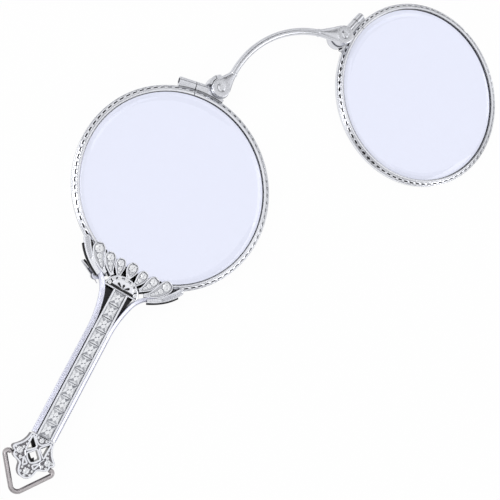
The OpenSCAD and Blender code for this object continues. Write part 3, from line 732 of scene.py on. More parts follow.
def wear_and_shade_group():
    """Colour, roughness and normal of handled metal: soft stains and fine scratches, with painted shade in
    its hollows and cuts
    """
    name = "handled_metal"
    if name in bpy.data.node_groups:
        return bpy.data.node_groups[name]
    tree, given = new_tree(
        name, "ShaderNodeTree",
        (("Colour", "Color"), ("Recess Colour", "Color"), ("Roughness", "Float", 0.2),
         ("Scratches", "Float", 0.1), ("Crevices", "Float", 0.85)),
        (("Colour", "Color"), ("Roughness", "Float"), ("Normal", "Vector")))
    spot = node(tree, "ShaderNodeTexCoord").outputs["Object"]
    stains = node(tree, "ShaderNodeTexNoise", {"Vector": spot, "Scale": 260.0, "Detail": 4.0})
    stretch = node(tree, "ShaderNodeMapping", {
        "Vector": spot, "Rotation": (0.0, 0.0, math.radians(34.0)), "Scale": (1.0, 14.0, 1.0)})
    scratches = node(tree, "ShaderNodeTexNoise", {
        "Vector": stretch.outputs[0], "Scale": 900.0, "Detail": 3.0})
    # Painted shade: the colour goes over to the recess colour as far as the cut attribute asks, and in narrow
    # gaps that ambient occlusion finds
    cut = node(tree, "ShaderNodeAttribute", attribute_name="cut")
    crevice = node(tree, "ShaderNodeAmbientOcclusion", {"Distance": 0.0007}, samples=8)
    hollow_shade = node(tree, "ShaderNodeMapRange", {
        "Value": crevice.outputs["AO"], "From Min": 0.25, "From Max": 0.8, "To Min": given["Crevices"],
        "To Max": 0.0})
    # Stains: the metal is a little lighter or darker at random, as handled metal is
    shade = node(tree, "ShaderNodeValToRGB", {0: stains.outputs["Fac"]})
    dark, pale = shade.color_ramp.elements
    dark.position, dark.color = 0.35, (0.62, 0.62, 0.65, 1)
    pale.position, pale.color = 0.65, (1, 1, 1, 1)
    stained = node(tree, "ShaderNodeMix", {"Factor": 0.22, "A": given["Colour"], "B": shade.outputs[0]},
                   data_type="RGBA", blend_type="MULTIPLY")
    painted_shade = maths(tree, "MAXIMUM", hollow_shade.outputs[0], cut.outputs["Fac"])
    shaded = node(tree, "ShaderNodeMix", {
        "Factor": painted_shade, "A": stained.outputs["Result"], "B": given["Recess Colour"]}, data_type="RGBA")
    bump = node(tree, "ShaderNodeBump", {
        "Distance": 0.00002, "Strength": given["Scratches"], "Height": scratches.outputs["Fac"]})
    node(tree, "NodeGroupOutput", {
        "Colour": shaded.outputs["Result"], "Normal": bump.outputs[0],
        "Roughness": maths(tree, "MULTIPLY_ADD", scratches.outputs["Fac"], 0.12, given["Roughness"])})
    return tree


def metal(name, colour, roughness, scratches, crevice_shade=0.85):
    if name in bpy.data.materials:
        return bpy.data.materials[name]
    material, tree = new_material(name)
    # Painted shade in cuts and narrow gaps comes from the group
    wear_and_shade = node(tree, "ShaderNodeGroup", {
        "Colour": (*colour, 1), "Recess Colour": (*finish().shadowed, 1), "Roughness": roughness,
        "Scratches": scratches, "Crevices": crevice_shade}, node_tree=wear_and_shade_group()).outputs
    fill(tree, tree.nodes["Principled BSDF"], {
        "Metallic": 1.0, "Base Color": wear_and_shade["Colour"], "Roughness": wear_and_shade["Roughness"],
        "Normal": wear_and_shade["Normal"]})
    return material


# Painted light: copies of the platinum made lighter by a share, for parts that catch more light
def painted_lighter(share):
    return [c * share for c in finish().platinum]


def platinum():
    return metal("polished_platinum", finish().platinum, 0.16, 0.15)


def satin():
    return metal("satin_platinum", painted_lighter(1.08), 0.2, 0.25)


def rail_finish():
    return metal("rail_platinum", finish().rails, 0.26, 0.3)


def set_work():
    return metal("set_work_platinum", painted_lighter(1.25), 0.18, 0.1, crevice_shade=0.5)


def bright():
    return metal("lit_bright_cut_platinum", painted_lighter(1.25), 0.14, 0.1, crevice_shade=0.25)


def engraved():
    return metal("engraved_metal", painted_lighter(1.2), 0.16, 0.1, crevice_shade=0.7)


def ground():
    # Painted shade: a dark ground for the shade between set stones
    return metal("painted_shade_ground", finish().ground, 0.4, 0.4)


def drawn_wire():
    return metal("drawn_wire", finish().wire, 0.24, 0.5)


def steel():
    return metal("blued_steel", finish().steel, 0.28, 0.3)


def clear(name, colour, index, roughness, shade, clarity=1.0):
    """Glass or stone that lets part of the light through its shadow"""
    if name in bpy.data.materials:
        return bpy.data.materials[name]
    material, tree = new_material(name)
    smears = node(tree, "ShaderNodeTexNoise", {
        "Vector": node(tree, "ShaderNodeTexCoord").outputs["Object"], "Scale": 120.0})
    shader = fill(tree, tree.nodes["Principled BSDF"], {
        "Base Color": (*colour, 1), "Transmission Weight": clarity, "IOR": index,
        "Roughness": maths(tree, "MULTIPLY", smears.outputs["Fac"], roughness)})
    through = node(tree, "ShaderNodeBsdfTransparent", {"Color": (*(c ** 0.35 * shade for c in colour), 1)})
    mix_surface(tree, node(tree, "ShaderNodeLightPath").outputs["Is Shadow Ray"], shader, through)
    return material


def lens_glass():
    return clear("tinted_lens", finish().glass, 1.5, 0.03, 0.96)


def stone():
    """A cut stone: each facet has a painted reflection, lighter or darker, as crossing facets below it would
    give
    """
    name = "white_stone"
    if name in bpy.data.materials:
        return bpy.data.materials[name]
    material = clear(name, finish().stone, 1.9, 0.02, 0.85, 0.12)
    tree = material.node_tree
    facet_reflection = node(tree, "ShaderNodeAttribute", attribute_name="facet_reflection")
    # Painted reflection: the facet's value mixes the stone tint towards a dark reflection colour
    mix = node(tree, "ShaderNodeMix", {
        "A": (*finish().stone, 1), "B": (0.13, 0.14, 0.18, 1), "Factor": facet_reflection.outputs["Fac"]},
        data_type="RGBA")
    fill(tree, tree.nodes["Principled BSDF"], {"Base Color": mix.outputs["Result"]})
    return material


# Pieces

def leaf_cut(u, w):
    """Depth of the engraving from 0 to 1, which also sets how much painted shade darkens it: u runs along one
    lozenge, w across the band from -1 to 1
    """
    border_out, border_in, border_deep = 0.86, 0.74, 0.45
    band, half_leaf, stroke = 0.64, 0.6, 0.28
    across = abs(w)
    if border_in < across <= border_out:
        return border_deep
    if across > band:
        return 0.0
    if across - half_leaf * (1 - abs(2 * u - 1)) ** 0.8 > 0.1:
        return 0.2
    return 1.0 if across < stroke and 0.2 < u < 0.8 else 0.0


def engraved_rim(split, notch=(0.0, 0.0, 0.0, 0.0)):
    """The section of a rim carried round from one side of its split to the other, with leaves cut in its
    slope; a notch has its angle, width, depth and top"""
    notch_at, notch_w, notch_deep, notch_top = notch
    steps_in_leaf, band_steps, split_w = 12, 20, 0.15
    leaves = sizes().leaf_count
    depth = sizes().cut_depth / MM
    inner = RIM_R - RIM_W
    foot, crest = (RIM_R, RIM_H - 0.55), (RIM_R - 0.95, RIM_H)
    normal = Vector((foot[1] - crest[1], foot[0] - crest[0])).normalized()
    normal = Vector((abs(normal.x), abs(normal.y)))
    # The rest of the section, from the crest past the groove for the lens and below to the outer face
    plain = [
        (RIM_R - 0.98, RIM_H), (inner + 0.3, RIM_H), (inner + 0.1, RIM_H - 0.06), (inner, RIM_H - 0.25),
        (inner, RIM_H / 2 + 0.35), (inner + 0.4, RIM_H / 2), (inner, RIM_H / 2 - 0.35), (inner, 0.18),
        (inner + 0.06, 0.05), (inner + 0.18, 0.0), (RIM_R - 0.38, 0.0), (RIM_R - 0.1, 0.1), (RIM_R, 0.36),
    ]
    half_gap = math.degrees(split_w / 2 / RIM_R)
    count = leaves * steps_in_leaf
    rings, cut_shades = [], []
    for i in range(count + 1):
        angle = split + half_gap + (360 - 2 * half_gap) * i / count
        u = i / steps_in_leaf % 1.0
        ring, row = [], []
        for k in range(band_steps + 1):
            t = k / band_steps
            # The cut value sinks the slope and also paints shade into the cut
            cut = leaf_cut(u, 2 * t - 1) if 0 < i < count else 0.0
            r = foot[0] + (crest[0] - foot[0]) * t - normal.x * cut * depth
            z = foot[1] + (crest[1] - foot[1]) * t - normal.y * cut * depth
            ring.append((r, z))
            row.append(cut)
        ring += plain
        row += [0.0] * len(plain)
        off_notch = abs((angle - notch_at + 180) % 360 - 180)
        if math.radians(off_notch) * RIM_R < notch_w / 2:
            ring = [(min(r, RIM_R - notch_deep), z) if z < notch_top else (r, z) for r, z in ring]
        rings.append([(*around((0, 0), r, math.radians(angle)), z) for r, z in ring])
        cut_shades.append(row)
    return loft(rings, cut_shades=cut_shades)


def lens_shape():
    """A lens with slightly bowed faces and an edge that sits in the groove"""
    body_r, edge_r, centre_t, edge_t = RIM_R - RIM_W - 0.04, RIM_R - RIM_W + 0.36, 1.3, 0.7
    steps, count, mid = 10, 128, RIM_H / 2
    sag = (centre_t - edge_t) / 2 + 0.04
    front = [(body_r * i / steps, centre_t / 2 - sag * (i / steps) ** 2) for i in range(1, steps + 1)]
    profile = front + [(edge_r, 0.0)] + [(r, -z) for r, z in reversed(front)]
    rings = []
    for i in range(count):
        a = math.tau * i / count
        rings.append([(*around((0, 0), r, a), mid + z) for r, z in profile])
    points, faces, cut_shades = loft(rings, closed=True)
    rows = len(profile)
    faces = [f for f in faces if {f[0] % rows, f[1] % rows} != {0, rows - 1}]
    points += [(0, 0, mid + centre_t / 2), (0, 0, mid - centre_t / 2)]
    for i in range(count):
        j = (i + 1) % count
        faces.append((len(points) - 2, i * rows, j * rows))
        faces.append((len(points) - 1, j * rows + rows - 1, i * rows + rows - 1))
    return points, faces, cut_shades + [0.0, 0.0]


class LorgnetteOperator(bpy.types.Operator):
    """Shared by all steps"""

    bl_options = {"REGISTER", "UNDO"}


class LORGNETTE_OT_rims(LorgnetteOperator):
    """Engraves both rims with a band of leaves"""

    bl_idname = "lorgnette.rims"
    bl_label = "Engraved Rims"

    def execute(self, context):
        catch_notch = (28.2, 1.0, 0.3, 1.36)
        build("rim_1_engraved", [lifted(engraved_rim(SPLIT_1), MID_Z)], engraved(),
              ["rim_1"], AT_LENS_1)
        build("rim_2_engraved", [engraved_rim(SPLIT_2, catch_notch)], engraved(),
              ["rim_2"], AT_LENS_2, "far_lens")
        return {"FINISHED"}


class LORGNETTE_OT_lenses(LorgnetteOperator):
    """Smooth glass lenses in their grooves"""

    bl_idname = "lorgnette.lenses"
    bl_label = "Lenses"

    def execute(self, context):
        build("lens_1_glass", [lifted(lens_shape(), MID_Z)], lens_glass(), ["lens_1"],
              AT_LENS_1, "handle", 50)
        build("lens_2_glass", [lens_shape()], lens_glass(), ["lens_2"],
              AT_LENS_2, "far_lens", 50)
        return {"FINISHED"}


class LORGNETTE_OT_bridge(LorgnetteOperator):
    """The smooth arch with its collars, flares and discs"""

    bl_idname = "lorgnette.bridge"
    bl_label = "Bridge"

    def execute(self, context):
        half_fold, lift = math.asin(CHORD / 2 / PIVOT_R), 0.8
        centre = (CHORD / 2, lift - PIVOT_R * math.cos(half_fold))
        start, end = 125, 60
        height, edge_h, sides = ARM_TOP - ARM_Z, 0.3, 14
        foot_part, foot_h, collar_len = 0.86, 0.12, 0.5

        def section(half, top, power=0.8):
            out = [(-half * foot_part, 0.0), (half * foot_part, 0.0), (half, foot_h)]
            for i in range(sides + 1):
                a = math.pi * i / sides
                out.append((half * math.cos(a), edge_h + (top - edge_h) * max(0.0, math.sin(a)) ** power))
            out.append((-half, foot_h))
            return out

        shapes = []
        path = arc(centre, ARCH_R, start, end, 90, ARM_Z)
        shapes.append(sweep(path, section(ARCH_W / 2, height)))
        for at in (start, end):
            half_len = math.degrees(collar_len / 2 / ARCH_R)
            ring_path = arc(centre, ARCH_R, at - half_len, at + half_len, 8, ARM_Z)
            swell = [0.03, 0.08, 0.1, 0.11, 0.115, 0.11, 0.1, 0.08, 0.03]
            shapes.append(sweep(ring_path, [section(ARCH_W / 2 + s, height + s) for s in swell]))
        for collar, hub in ((path[0], (0.0, 0.0)), (path[-1], (CHORD, 0.0))):
            steps = 24
            reach = math.dist(collar[:2], hub)
            full = 1 - 0.45 * DISC_R / reach
            line, sections = [], []
            for i in range(steps + 1):
                t = i / steps
                x, y = (a + (b - a) * t for a, b in zip(collar, hub))
                line.append((x, y, ARM_Z))
                wide = min(1.0, t / full) ** 1.15
                half = ARCH_W / 2 + (DISC_R * 0.985 - ARCH_W / 2) * wide
                sections.append(section(half, height - 0.01, 0.75 - 0.5 * wide))
            shapes.append(sweep(line, sections))
        head_r, stop_r, low_2 = 0.88, 2.7, 1.75
        for x, low in ((0.0, ARM_Z), (CHORD, low_2)):
            profile = [
                (head_r, low), (DISC_R - 0.1, low), (DISC_R, low + 0.1), (DISC_R, ARM_TOP - 0.16),
                (DISC_R - 0.04, ARM_TOP - 0.06), (DISC_R - 0.12, ARM_TOP), (DISC_R - 0.2, ARM_TOP + 0.02),
                (DISC_R - 0.26, ARM_TOP + 0.022), (head_r + 0.12, ARM_TOP + 0.022),
                (head_r + 0.06, ARM_TOP + 0.02), (head_r, ARM_TOP - 0.04),
            ]
            shapes.append(turned_shape(profile, (x, 0.0)))
        shapes.append(sector((0, 0), DISC_R - 0.2, stop_r, 62, 88.5, ARM_Z, ARM_TOP - 0.2))
        shapes.append(sector((CHORD, 0), DISC_R - 0.2, stop_r, 147.5, 172, low_2, 3.6))
        build("bridge_arch", shapes, satin(), ["bridge_arm"], AT_BRIDGE, "bridge", 24)
        dress(satin(), "pivot_rivet_1", "pivot_rivet_2")
        return {"FINISHED"}


class LORGNETTE_OT_joints(LorgnetteOperator):
    """Finishes of the drums, closing tubes, screws and springs"""

    bl_idname = "lorgnette.joints"
    bl_label = "Pivots and Closing Joints"

    def execute(self, context):
        dress(satin(), "pivot_drum_1", "pivot_drum_2", "closing_tube_1", "closing_tube_2")
        turn, half_len, tube_r, bulge = math.radians(SPLIT_2), 2.07, 0.8, 0.42
        x = TUBE_AT * math.cos(turn) + half_len * math.sin(turn)
        y = TUBE_AT * math.sin(turn) - half_len * math.cos(turn)
        build("tube_end_2", [dome((x, y), SPLIT_2 - 90, tube_r, bulge, RIM_H / 2)], satin(), (),
              AT_LENS_2, "far_lens")
        dress(steel(), "closing_screw_1", "closing_screw_2", "pivot_spring_1", "pivot_spring_2")
        return {"FINISHED"}


class LORGNETTE_OT_fan(LorgnetteOperator):
    """The pierced fan: petals with raised borders and set stones, and a plain outer leaf on each side"""

    bl_idname = "lorgnette.fan"
    bl_label = "Fan"

    def execute(self, context):
        dress(engraved(), "rim_saddle")
        low, deep = FRONT_Z, FRONT_Z + 0.26
        set_sunk, leaf_sunk, leaf_sunk_to = 0.17, 0.09, 4.6
        stroke_count, first_stroke, stroke_pitch, stroke_z = 11, 0.55, 0.38, FAN_TOP + 0.03
        # Painted shade: the grounds carry the full cut value, so they take the recess colour where shade
        # falls between the petals
        grounds = [sector((0, 0), RIM_R - 0.9, RIM_R + 1.5, 248, 292, low, deep, 30, 1.0)]
        petals, stones, prongs = [], [], []
        for k, (foot, bend, tip, width, sets) in enumerate(PETALS):
            sunk, sunk_to = (set_sunk, sum(sets[-1]) + 0.2) if sets else (leaf_sunk, leaf_sunk_to)
            petals.append(petal(foot, bend, tip, width, low, FAN_TOP + 0.04, sunk, sunk_to))
            grounds.append(petal_ground(foot, bend, tip, width, low, deep))
            line, reach = bent_line(foot, bend, tip)
            stones += [(*spot_on(line, reach, left), FAN_TOP, size, 17 * k) for left, size in sets]
            for (near, a), (far, b) in zip(sets, sets[1:]):
                for side in (-0.3, 0.3):
                    x, y = spot_on(line, reach, (near + a + far - b) / 2, side * (a + b))
                    prongs.append((x, y, FAN_TOP - 0.04, 0.11))
            if k:
                petals.append(mirrored(petals[-1]))
                grounds.append(mirrored(grounds[-1]))
        line, reach = bent_line(*PETALS[-1][:3])
        strokes = []
        for i in range(stroke_count):
            left = first_stroke + stroke_pitch * i
            x, y = spot_on(line, reach, left)
            (x1, y1), (x2, y2) = spot_on(line, reach, left - 0.2), spot_on(line, reach, left + 0.2)
            turn = math.degrees(math.atan2(y1 - y2, x1 - x2)) + 62
            size = 0.2 + 0.12 * min(1.0, left / 1.2) - 0.1 * max(0.0, left - 3.0)
            strokes += [(x, y, stroke_z, size, turn), (-x, y, stroke_z, size, 180 - turn)]
        prongs += round_prongs(0.0, -18.39, FAN_TOP + 0.02, 0.76, 0.14)
        stones += flipped([s for s in stones if s[0] > 0.1])
        prongs += flipped([s for s in prongs if s[0] > 1.0])
        build("fan_ground", grounds, engraved())
        repeat("leaf_strokes", hatch_model("leaf_stroke"), strokes, bright())
        build("fan_petals", petals, set_work(), ["fan_gallery"])
        repeat("fan_brilliants", brilliant("fan_stone"), stones, stone(), ["fan_stones"])
        repeat("fan_prongs", bead_model("fan_prong"), prongs, bright())
        return {"FINISHED"}


class LORGNETTE_OT_half_moon(LorgnetteOperator):
    """The half moon with its band, beads and stones"""

    bl_idname = "lorgnette.half_moon"
    bl_label = "Half Moon"

    def execute(self, context):
        def on_moon(inset, turn, lift):
            a = math.radians(turn)
            x = MOON_BASE[0] + (MOON[0] - inset) * math.cos(a)
            return x, MOON_BASE[1] + lift + (MOON[1] - inset) * math.sin(a)

        def edge(inset, z=0.0, steps=60):
            return [(*on_moon(inset, 180 * i / steps, 0.6 * inset), z) for i in range(steps + 1)]

        top = FAN_TOP + 0.06
        # Painted shade: the wide lower slab takes the full cut value, dark between the stones where shade
        # falls
        shapes = [slab(edge(0.06), FRONT_Z, top - 0.12, 1.0), slab(edge(1.38), FRONT_Z, top - 0.03)]
        shapes.append(sweep(edge(0.15, top), round_section(0.17, 10), closed=True))
        shapes.append(sweep(edge(1.34, top - 0.02), round_section(0.09, 8), closed=True))
        foot_y = MOON_BASE[1] + 0.62
        for turn, start, reach in ((32, 0.18, 1.28), (90, 0.12, 0.78), (148, 0.18, 1.28)):
            p, q = (around((MOON_BASE[0], foot_y), r, math.radians(turn)) for r in (start, reach))
            drop = drop_loop(p, 0.07, q, 0.27, top)
            # Painted shade: each teardrop slab is dark for the shade in its opening
            shapes.append(slab(drop, top - 0.2, top - 0.01, 1.0, soft=0.02))
            shapes.append(sweep(drop, round_section(0.05, 6), closed=True))
        build("half_moon_setting", shapes, set_work(), ["half_moon"])
        stones = [(*on_moon(0.76, turn, 0.4), top - 0.04, 0.42, turn)
                  for turn in (9, 35, 62, 90, 118, 145, 171)]
        prongs = [(*on_moon(inset, turn, 0.6 * inset), top - 0.08, 0.12)
                  for turn in (22, 48, 76, 104, 132, 158) for inset in (0.47, 1.06)]
        repeat("half_moon_brilliants", brilliant("moon_stone"), stones, stone(),
               ["half_moon_stones"])
        repeat("half_moon_prongs", bead_model("moon_prong"), prongs, bright())
        loop = edge(0.15, top + 0.12)
        bead_rows("half_moon_milgrain", [loop + loop[:1]], 0.08 * MM, 0.2 * MM)
        return {"FINISHED"}


class LORGNETTE_OT_shaft(LorgnetteOperator):
    """Rails, stone channel and the row of square stones"""

    bl_idname = "lorgnette.shaft"
    bl_label = "Shaft"

    def execute(self, context):
        dress(rail_finish(), "handle_rails")
        dress(engraved(), "stone_channel")
        # Painted shade: dark lines at the foot of the channel walls on the rails, and a dark web low between
        # the spread rails
        flat = [(-0.07, -0.05), (0.07, -0.05), (0.07, 0.02), (-0.07, 0.02)]
        shade_lines, rows = [], []
        for side in (-1, 1):
            x, z = side * (RAIL_IN + 0.05), MID_Z + RAIL_H
            shade_lines.append(sweep([(x, -SPREAD_Y, z), (x, -CHANNEL_END, z)], flat, cut_shades=[[1.0] * 4] * 2))
            x, z = side * (STONE_W / 2 + 0.2), MID_Z + CHANNEL_H - 0.09
            rows.append([(x, -CHANNEL_TOP - 0.1, z), (x, -CHANNEL_END + 0.1, z)])
        web = [(3.3, -22.6), (-3.3, -22.6), (-2.4, -26), (-1.7, -31.2), (1.7, -31.2), (2.4, -26)]
        shade_lines.append(slab(web, MID_Z + 0.3, MID_Z + 1.2, 1.0))
        build("shaft_seams", shade_lines, engraved())
        strokes = []
        x, z, pitch, size = RAIL_IN + 0.8, MID_Z + RAIL_H - 0.27, 0.42, 0.26
        for i in range(int((CHANNEL_END - SPREAD_Y) / pitch)):
            y = -SPREAD_Y - pitch * (i + 0.5)
            strokes += [(x, y, z, size, 62, 40), (-x, y, z, size, 118, -40)]
        repeat("rail_hatching", hatch_model("graver_stroke"), strokes, engraved())
        girdle_z = MID_Z + CHANNEL_H - 0.45
        stones = [(0, -CHANNEL_TOP - STONE_PITCH * (i + 0.5), girdle_z, 1.0) for i in range(STONES_IN_ROW)]
        model = french_cut("square_stone", STONE_W / 2, STONE_LEN / 2)
        repeat("channel_french_cuts", model, stones, stone(), ["channel_stones"])
        bead_rows("channel_milgrain", rows, sizes().bead_radius, sizes().bead_spacing)
        return {"FINISHED"}


class LORGNETTE_OT_terminal(LorgnetteOperator):
    """The pierced end of the handle with its stones and borders"""

    bl_idname = "lorgnette.terminal"
    bl_label = "Terminal"

    def execute(self, context):
        # The right half of the outline, from the neck to the tip
        right = [(2.3, -53.9), (2.45, -55.0), (2.9, -56.0), (3.55, -56.75), (4.2, -57.3), (4.28, -57.7),
                 (3.95, -58.02), (3.66, -58.1), (3.64, -58.8), (3.1, -59.25), (2.2, -59.5), (1.75, -59.8),
                 (1.6, -60.5), (1.35, -61.2), (0.8, -61.75)]
        outline = smoothed(right + [(0.0, -61.95)] + flipped(right)[::-1], True, 1)
        kite = [(0, -56.35), (1.36, -57.75), (0.75, -58.5), (0, -58.95), (-0.75, -58.5), (-1.36, -57.75)]
        window = [(1.95, -54.35), (1.88, -57.4), (0.3, -56.0)]
        slit = [(1.62, -58.5), (1.12, -59.8), (0.62, -59.3)]
        holes = [smoothed(hole, True, 2, 0.1)
                 for hole in (kite, window, flipped(window)[::-1], slit, flipped(slit)[::-1])]
        # Painted shade: the plate is the dark ground, with a little of the recess shade colour through its
        # cut value
        plate = pierced([outline] + holes, MID_Z, TERMINAL_TOP - 0.12, 0.15)
        build("terminal_plate", [plate], ground(), ["terminal"])

        def dark_strip(line, half, z, height, closed=False):
            flat = [(-half, 0.0), (half, 0.0), (half, height), (-half, height)]
            return sweep([(x, y, z) for x, y in line], flat, closed, [[1.0] * 4 for _ in line])

        # Painted shade: dark strips round the walls of the openings and low inside them, for the shade in the
        # thick plate
        shade_strips = [dark_strip(hole, 0.04, MID_Z, TERMINAL_TOP - MID_Z - 0.2, True) for hole in holes]
        for line, half in (([(-1.9, -54.4), (-0.35, -56.0)], 0.52), ([(1.9, -54.4), (0.35, -56.0)], 0.4),
                           ([(-1.1, -57.95), (0.0, -58.85), (0.8, -58.4)], 0.62)):
            shade_strips.append(dark_strip(line, half, MID_Z + 0.2, 0.5))
        build("terminal_lining", shade_strips, engraved())
        top = TERMINAL_TOP - 0.03

        def raised(loop, grow):
            centre = (sum(p[0] for p in loop) / len(loop), sum(p[1] for p in loop) / len(loop))
            out = []
            for x, y in loop:
                k = 1 + grow / math.hypot(x - centre[0], y - centre[1])
                out.append((centre[0] + (x - centre[0]) * k, centre[1] + (y - centre[1]) * k, top))
            return out

        wire = [(-0.17, -0.12), (-0.17, 0.04), (-0.1, 0.1), (0.1, 0.1), (0.17, 0.04), (0.17, -0.12)]
        # The border wires round the outline and the openings, and the seat of the uppermost stone
        seat = [(1.85, -54.05, top), (0, -55.75, top), (-1.85, -54.05, top)]
        loops = [raised(outline, -0.12)] + [raised(hole, 0.1) for hole in holes] + [smoothed(seat, True)]
        shapes = [sweep(loop, wire, closed=True) for loop in loops]
        for side in (1, -1):
            for a, b in (((1.45, -58.25), (2.2, -59.2)), ((2.0, -57.45), (1.5, -58.2))):
                shapes.append(sweep([(side * x, y, top) for x, y in (a, b)], round_section(0.12, 8)))
        build("terminal_borders", shapes, bright())
        stones, prongs = [], []
        for x, y, size in (
                (3.72, -57.5, 0.22), (2.25, -58.75, 0.3), (3.1, -58.75, 0.26), (2.45, -56.95, 0.28),
                (2.2, -56.25, 0.22), (2.15, -55.6, 0.17), (0.95, -61.0, 0.26), (1.0, -60.25, 0.24),
                (0.0, -61.4, 0.28), (0.0, -54.65, 0.46), (0.85, -54.4, 0.24), (0.0, -59.55, 0.22)):
            for side in (1, -1) if x else (1,):
                stones.append((side * x, y, TERMINAL_TOP - 0.04, size))
        for x, y, size in ((0, -60.6, 0.6), (2.9, -57.75, 0.62), (-2.9, -57.75, 0.62)):
            stones.append((x, y, TERMINAL_TOP, size, 12))
            prongs += round_prongs(x, y, TERMINAL_TOP - 0.04, 0.66, 0.13)
        repeat("terminal_brilliants", brilliant("terminal_stone"), stones, stone(),
               ["terminal_stones"])
        repeat("terminal_prongs", bead_model("terminal_prong"), prongs, bright())
        return {"FINISHED"}


class LORGNETTE_OT_bail(LorgnetteOperator):
    """The wire loop for a ribbon, with two grooves along its wire"""

    bl_idname = "lorgnette.bail"
    bl_label = "Bail"

    def execute(self, context):
        half, shoulder_r, bend_r, length = 4.3, 0.55, 1.3, 4.7
        rise = length - shoulder_r
        slope = math.atan2(rise, half)
        turn = math.degrees(slope - math.acos((bend_r - shoulder_r) / math.hypot(half, rise)))
        start = (half - 0.3, -PIN_Y, PIN_Z)
        right = [start] + arc((half, -PIN_Y - shoulder_r), shoulder_r, 90, turn, 14, PIN_Z)
        bottom = arc((0, -PIN_Y - length), bend_r, turn, -180 - turn, 28, PIN_Z)
        path = right + bottom + flipped(right)[::-1]
        radius, sides = sizes().wire_radius / MM, 24
        section = []
        for i in range(sides):
            a = math.tau * i / sides
            groove = 0.07 if i % 6 == 3 else 0.0
            section.append(((radius - groove) * math.cos(a), (radius - groove) * math.sin(a)))
        shapes = [sweep(path, section)]
        pin = round_section(0.3, 16)
        for side in (1, -1):
            outer, inner = side * (half - 0.1), side * (half - 1.1)
            shapes.append(sweep([(outer, -PIN_Y, PIN_Z), (inner, -PIN_Y, PIN_Z)], pin))
        build("bail_wire", shapes, drawn_wire(), ["bail"], AT_HANDLE, "bail", 50)
        return {"FINISHED"}


class LORGNETTE_OT_lever(LorgnetteOperator):
    """Finishes of the release lever, its pin and its spring"""

    bl_idname = "lorgnette.lever"
    bl_label = "Release Lever"

    def execute(self, context):
        dress(platinum(), "release_lever")
        dress(steel(), "lever_pin", "lever_spring")
        return {"FINISHED"}


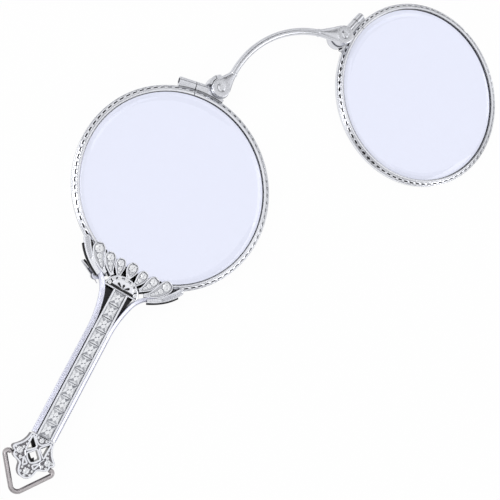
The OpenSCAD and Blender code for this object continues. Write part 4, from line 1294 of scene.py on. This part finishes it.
class LORGNETTE_OT_stage(LorgnetteOperator):
    """Floor, world, dark cards, lamps and camera"""

    bl_idname = "lorgnette.stage"
    bl_label = "Stage"

    def execute(self, context):
        self.floor()
        self.world(context)
        self.cards()
        self.lamps()
        self.camera(context)
        context.scene.view_settings.view_transform = "Standard"
        return {"FINISHED"}

    def floor(self):
        half, drop = 2.5, -0.0001
        corners = [(-half, -half, drop), (half, -half, drop), (half, half, drop), (-half, half, drop)]
        mesh = bpy.data.meshes.new("floor")
        mesh.from_pydata(corners, [], [(0, 1, 2, 3)])
        material, tree = new_material("pale_floor")
        shader = fill(tree, tree.nodes["Principled BSDF"], {
            "Base Color": (0.9, 0.9, 0.9, 1), "Roughness": 0.9})
        share = maths(tree, "MULTIPLY", seen_rays(tree), 0.96)
        mix_surface(tree, share, shader, node(tree, "ShaderNodeEmission"))
        mesh.materials.append(material)
        new_object("floor", mesh)

    def world(self, context):
        world = bpy.data.worlds.new("studio")
        context.scene.world = world
        world.use_nodes = True
        tree = world.node_tree
        level = node(tree, "ShaderNodeMapRange", {"Value": seen_rays(tree), "To Min": 0.6, "To Max": 1.0})
        fill(tree, tree.nodes["Background"], {"Color": (1, 1, 1, 1), "Strength": level.outputs[0]})

    def card_material(self, name, fades):
        """Near black, and white from a little way up if it fades"""
        material, tree = new_material(name)
        shader = fill(tree, tree.nodes["Principled BSDF"], {
            "Base Color": (0.03, 0.03, 0.035, 1), "Roughness": 0.9})
        if fades:
            spot = node(tree, "ShaderNodeTexCoord").outputs["Object"]
            height = node(tree, "ShaderNodeSeparateXYZ", {0: spot}).outputs["Z"]
            rise = node(tree, "ShaderNodeMapRange", {"Value": height, "From Min": 0.03, "From Max": 0.17},
                        interpolation_type="SMOOTHSTEP")
            mix_surface(tree, rise.outputs[0], shader, node(tree, "ShaderNodeEmission"))
        return material

    def cards(self):
        """Dark cards round the object, which only polished metal shows, as a studio sets them"""
        for name, material, radius, top_radius, low, high, spans in (
                ("low_cards", self.card_material("fading_card", True), 0.55, 0.55, 0.01, 0.2, ((0, 360),)),
                ("high_cards", self.card_material("dark_card", False), 0.42, 0.315, 0.42, 0.6,
                 ((15, 75), (100, 160), (200, 250), (280, 340)))):
            points, faces = [], []
            for start, end in spans:
                steps = (end - start) // 6
                for i in range(steps + 1):
                    a = math.radians(start + (end - start) * i / steps)
                    points += [(*around((0, 0), r, a), z) for r, z in ((radius, low), (top_radius, high))]
                    if i:
                        n = len(points)
                        faces.append((n - 4, n - 2, n - 1, n - 3))
            mesh = bpy.data.meshes.new(name)
            mesh.from_pydata(points, [], faces)
            mesh.materials.append(material)
            card = new_object(name, mesh)
            for ray in ("camera", "diffuse", "transmission", "shadow"):
                setattr(card, "visible_" + ray, False)

    def lamps(self):
        for name, at, size, watts in (("key", (-0.55, 0.4, 0.75), 0.72, 3.9),
                                      ("fill", (0.7, -0.75, 0.75), 0.8, 2.9)):
            lamp = bpy.data.lights.new(name, "AREA")
            lamp.size = size
            lamp.energy = watts
            lit = new_object(name, lamp)
            lit.location = at
            lit.rotation_mode = "QUATERNION"
            lit.rotation_quaternion = Vector(at).to_track_quat("Z", "Y")

    def camera(self, context):
        right = Vector((0.843, -0.359, 0.402)).normalized()
        back = Vector((-0.403, 0.074, 0.912))
        back = (back - right * back.dot(right)).normalized()
        up = back.cross(right)
        turn = Matrix((right, up, back)).transposed().to_4x4()
        eye = bpy.data.cameras.new("camera")
        eye.lens = 78.05
        eye.sensor_width = 36.0
        eye.clip_start, eye.clip_end = 0.01, 20.0
        camera = new_object("camera", eye)
        camera.matrix_world = Matrix.Translation((-0.0940, 0.00866, 0.20245)) @ turn
        context.scene.camera = camera


def seen_rays(tree):
    """1 for rays from the camera and those that metal and glass send on, else 0"""
    path = node(tree, "ShaderNodeLightPath").outputs
    first = maths(tree, "ADD", path["Is Camera Ray"], path["Is Glossy Ray"], clamp=True)
    return maths(tree, "ADD", first, path["Is Transmission Ray"], clamp=True)


STEPS = (
    LORGNETTE_OT_stage, LORGNETTE_OT_rims, LORGNETTE_OT_lenses, LORGNETTE_OT_bridge, LORGNETTE_OT_joints,
    LORGNETTE_OT_fan, LORGNETTE_OT_half_moon, LORGNETTE_OT_shaft, LORGNETTE_OT_terminal, LORGNETTE_OT_bail,
    LORGNETTE_OT_lever,
)


class LORGNETTE_PT_steps(bpy.types.Panel):
    """Lists the steps and the values they use"""

    bl_label = "Lorgnette"
    bl_idname = "LORGNETTE_PT_steps"
    bl_space_type = "VIEW_3D"
    bl_region_type = "UI"
    bl_category = "Lorgnette"

    def draw(self, context):
        layout = self.layout
        for group in (context.scene.lorgnette_sizes, context.scene.lorgnette_finish):
            for name in group.__annotations__:
                layout.prop(group, name)
        for step in STEPS:
            layout.operator(step.bl_idname)


CLASSES = (LorgnetteSizes, LorgnetteFinish, *STEPS, LORGNETTE_PT_steps)


def register():
    for item in CLASSES:
        bpy.utils.register_class(item)
    bpy.types.Scene.lorgnette_sizes = bpy.props.PointerProperty(type=LorgnetteSizes)
    bpy.types.Scene.lorgnette_finish = bpy.props.PointerProperty(type=LorgnetteFinish)


def unregister():
    del bpy.types.Scene.lorgnette_finish
    del bpy.types.Scene.lorgnette_sizes
    for item in reversed(CLASSES):
        bpy.utils.unregister_class(item)


def main():
    register()
    for step in STEPS:
        group, name = step.bl_idname.split(".")
        getattr(getattr(bpy.ops, group), name)()


if __name__ == "__main__":
    main()
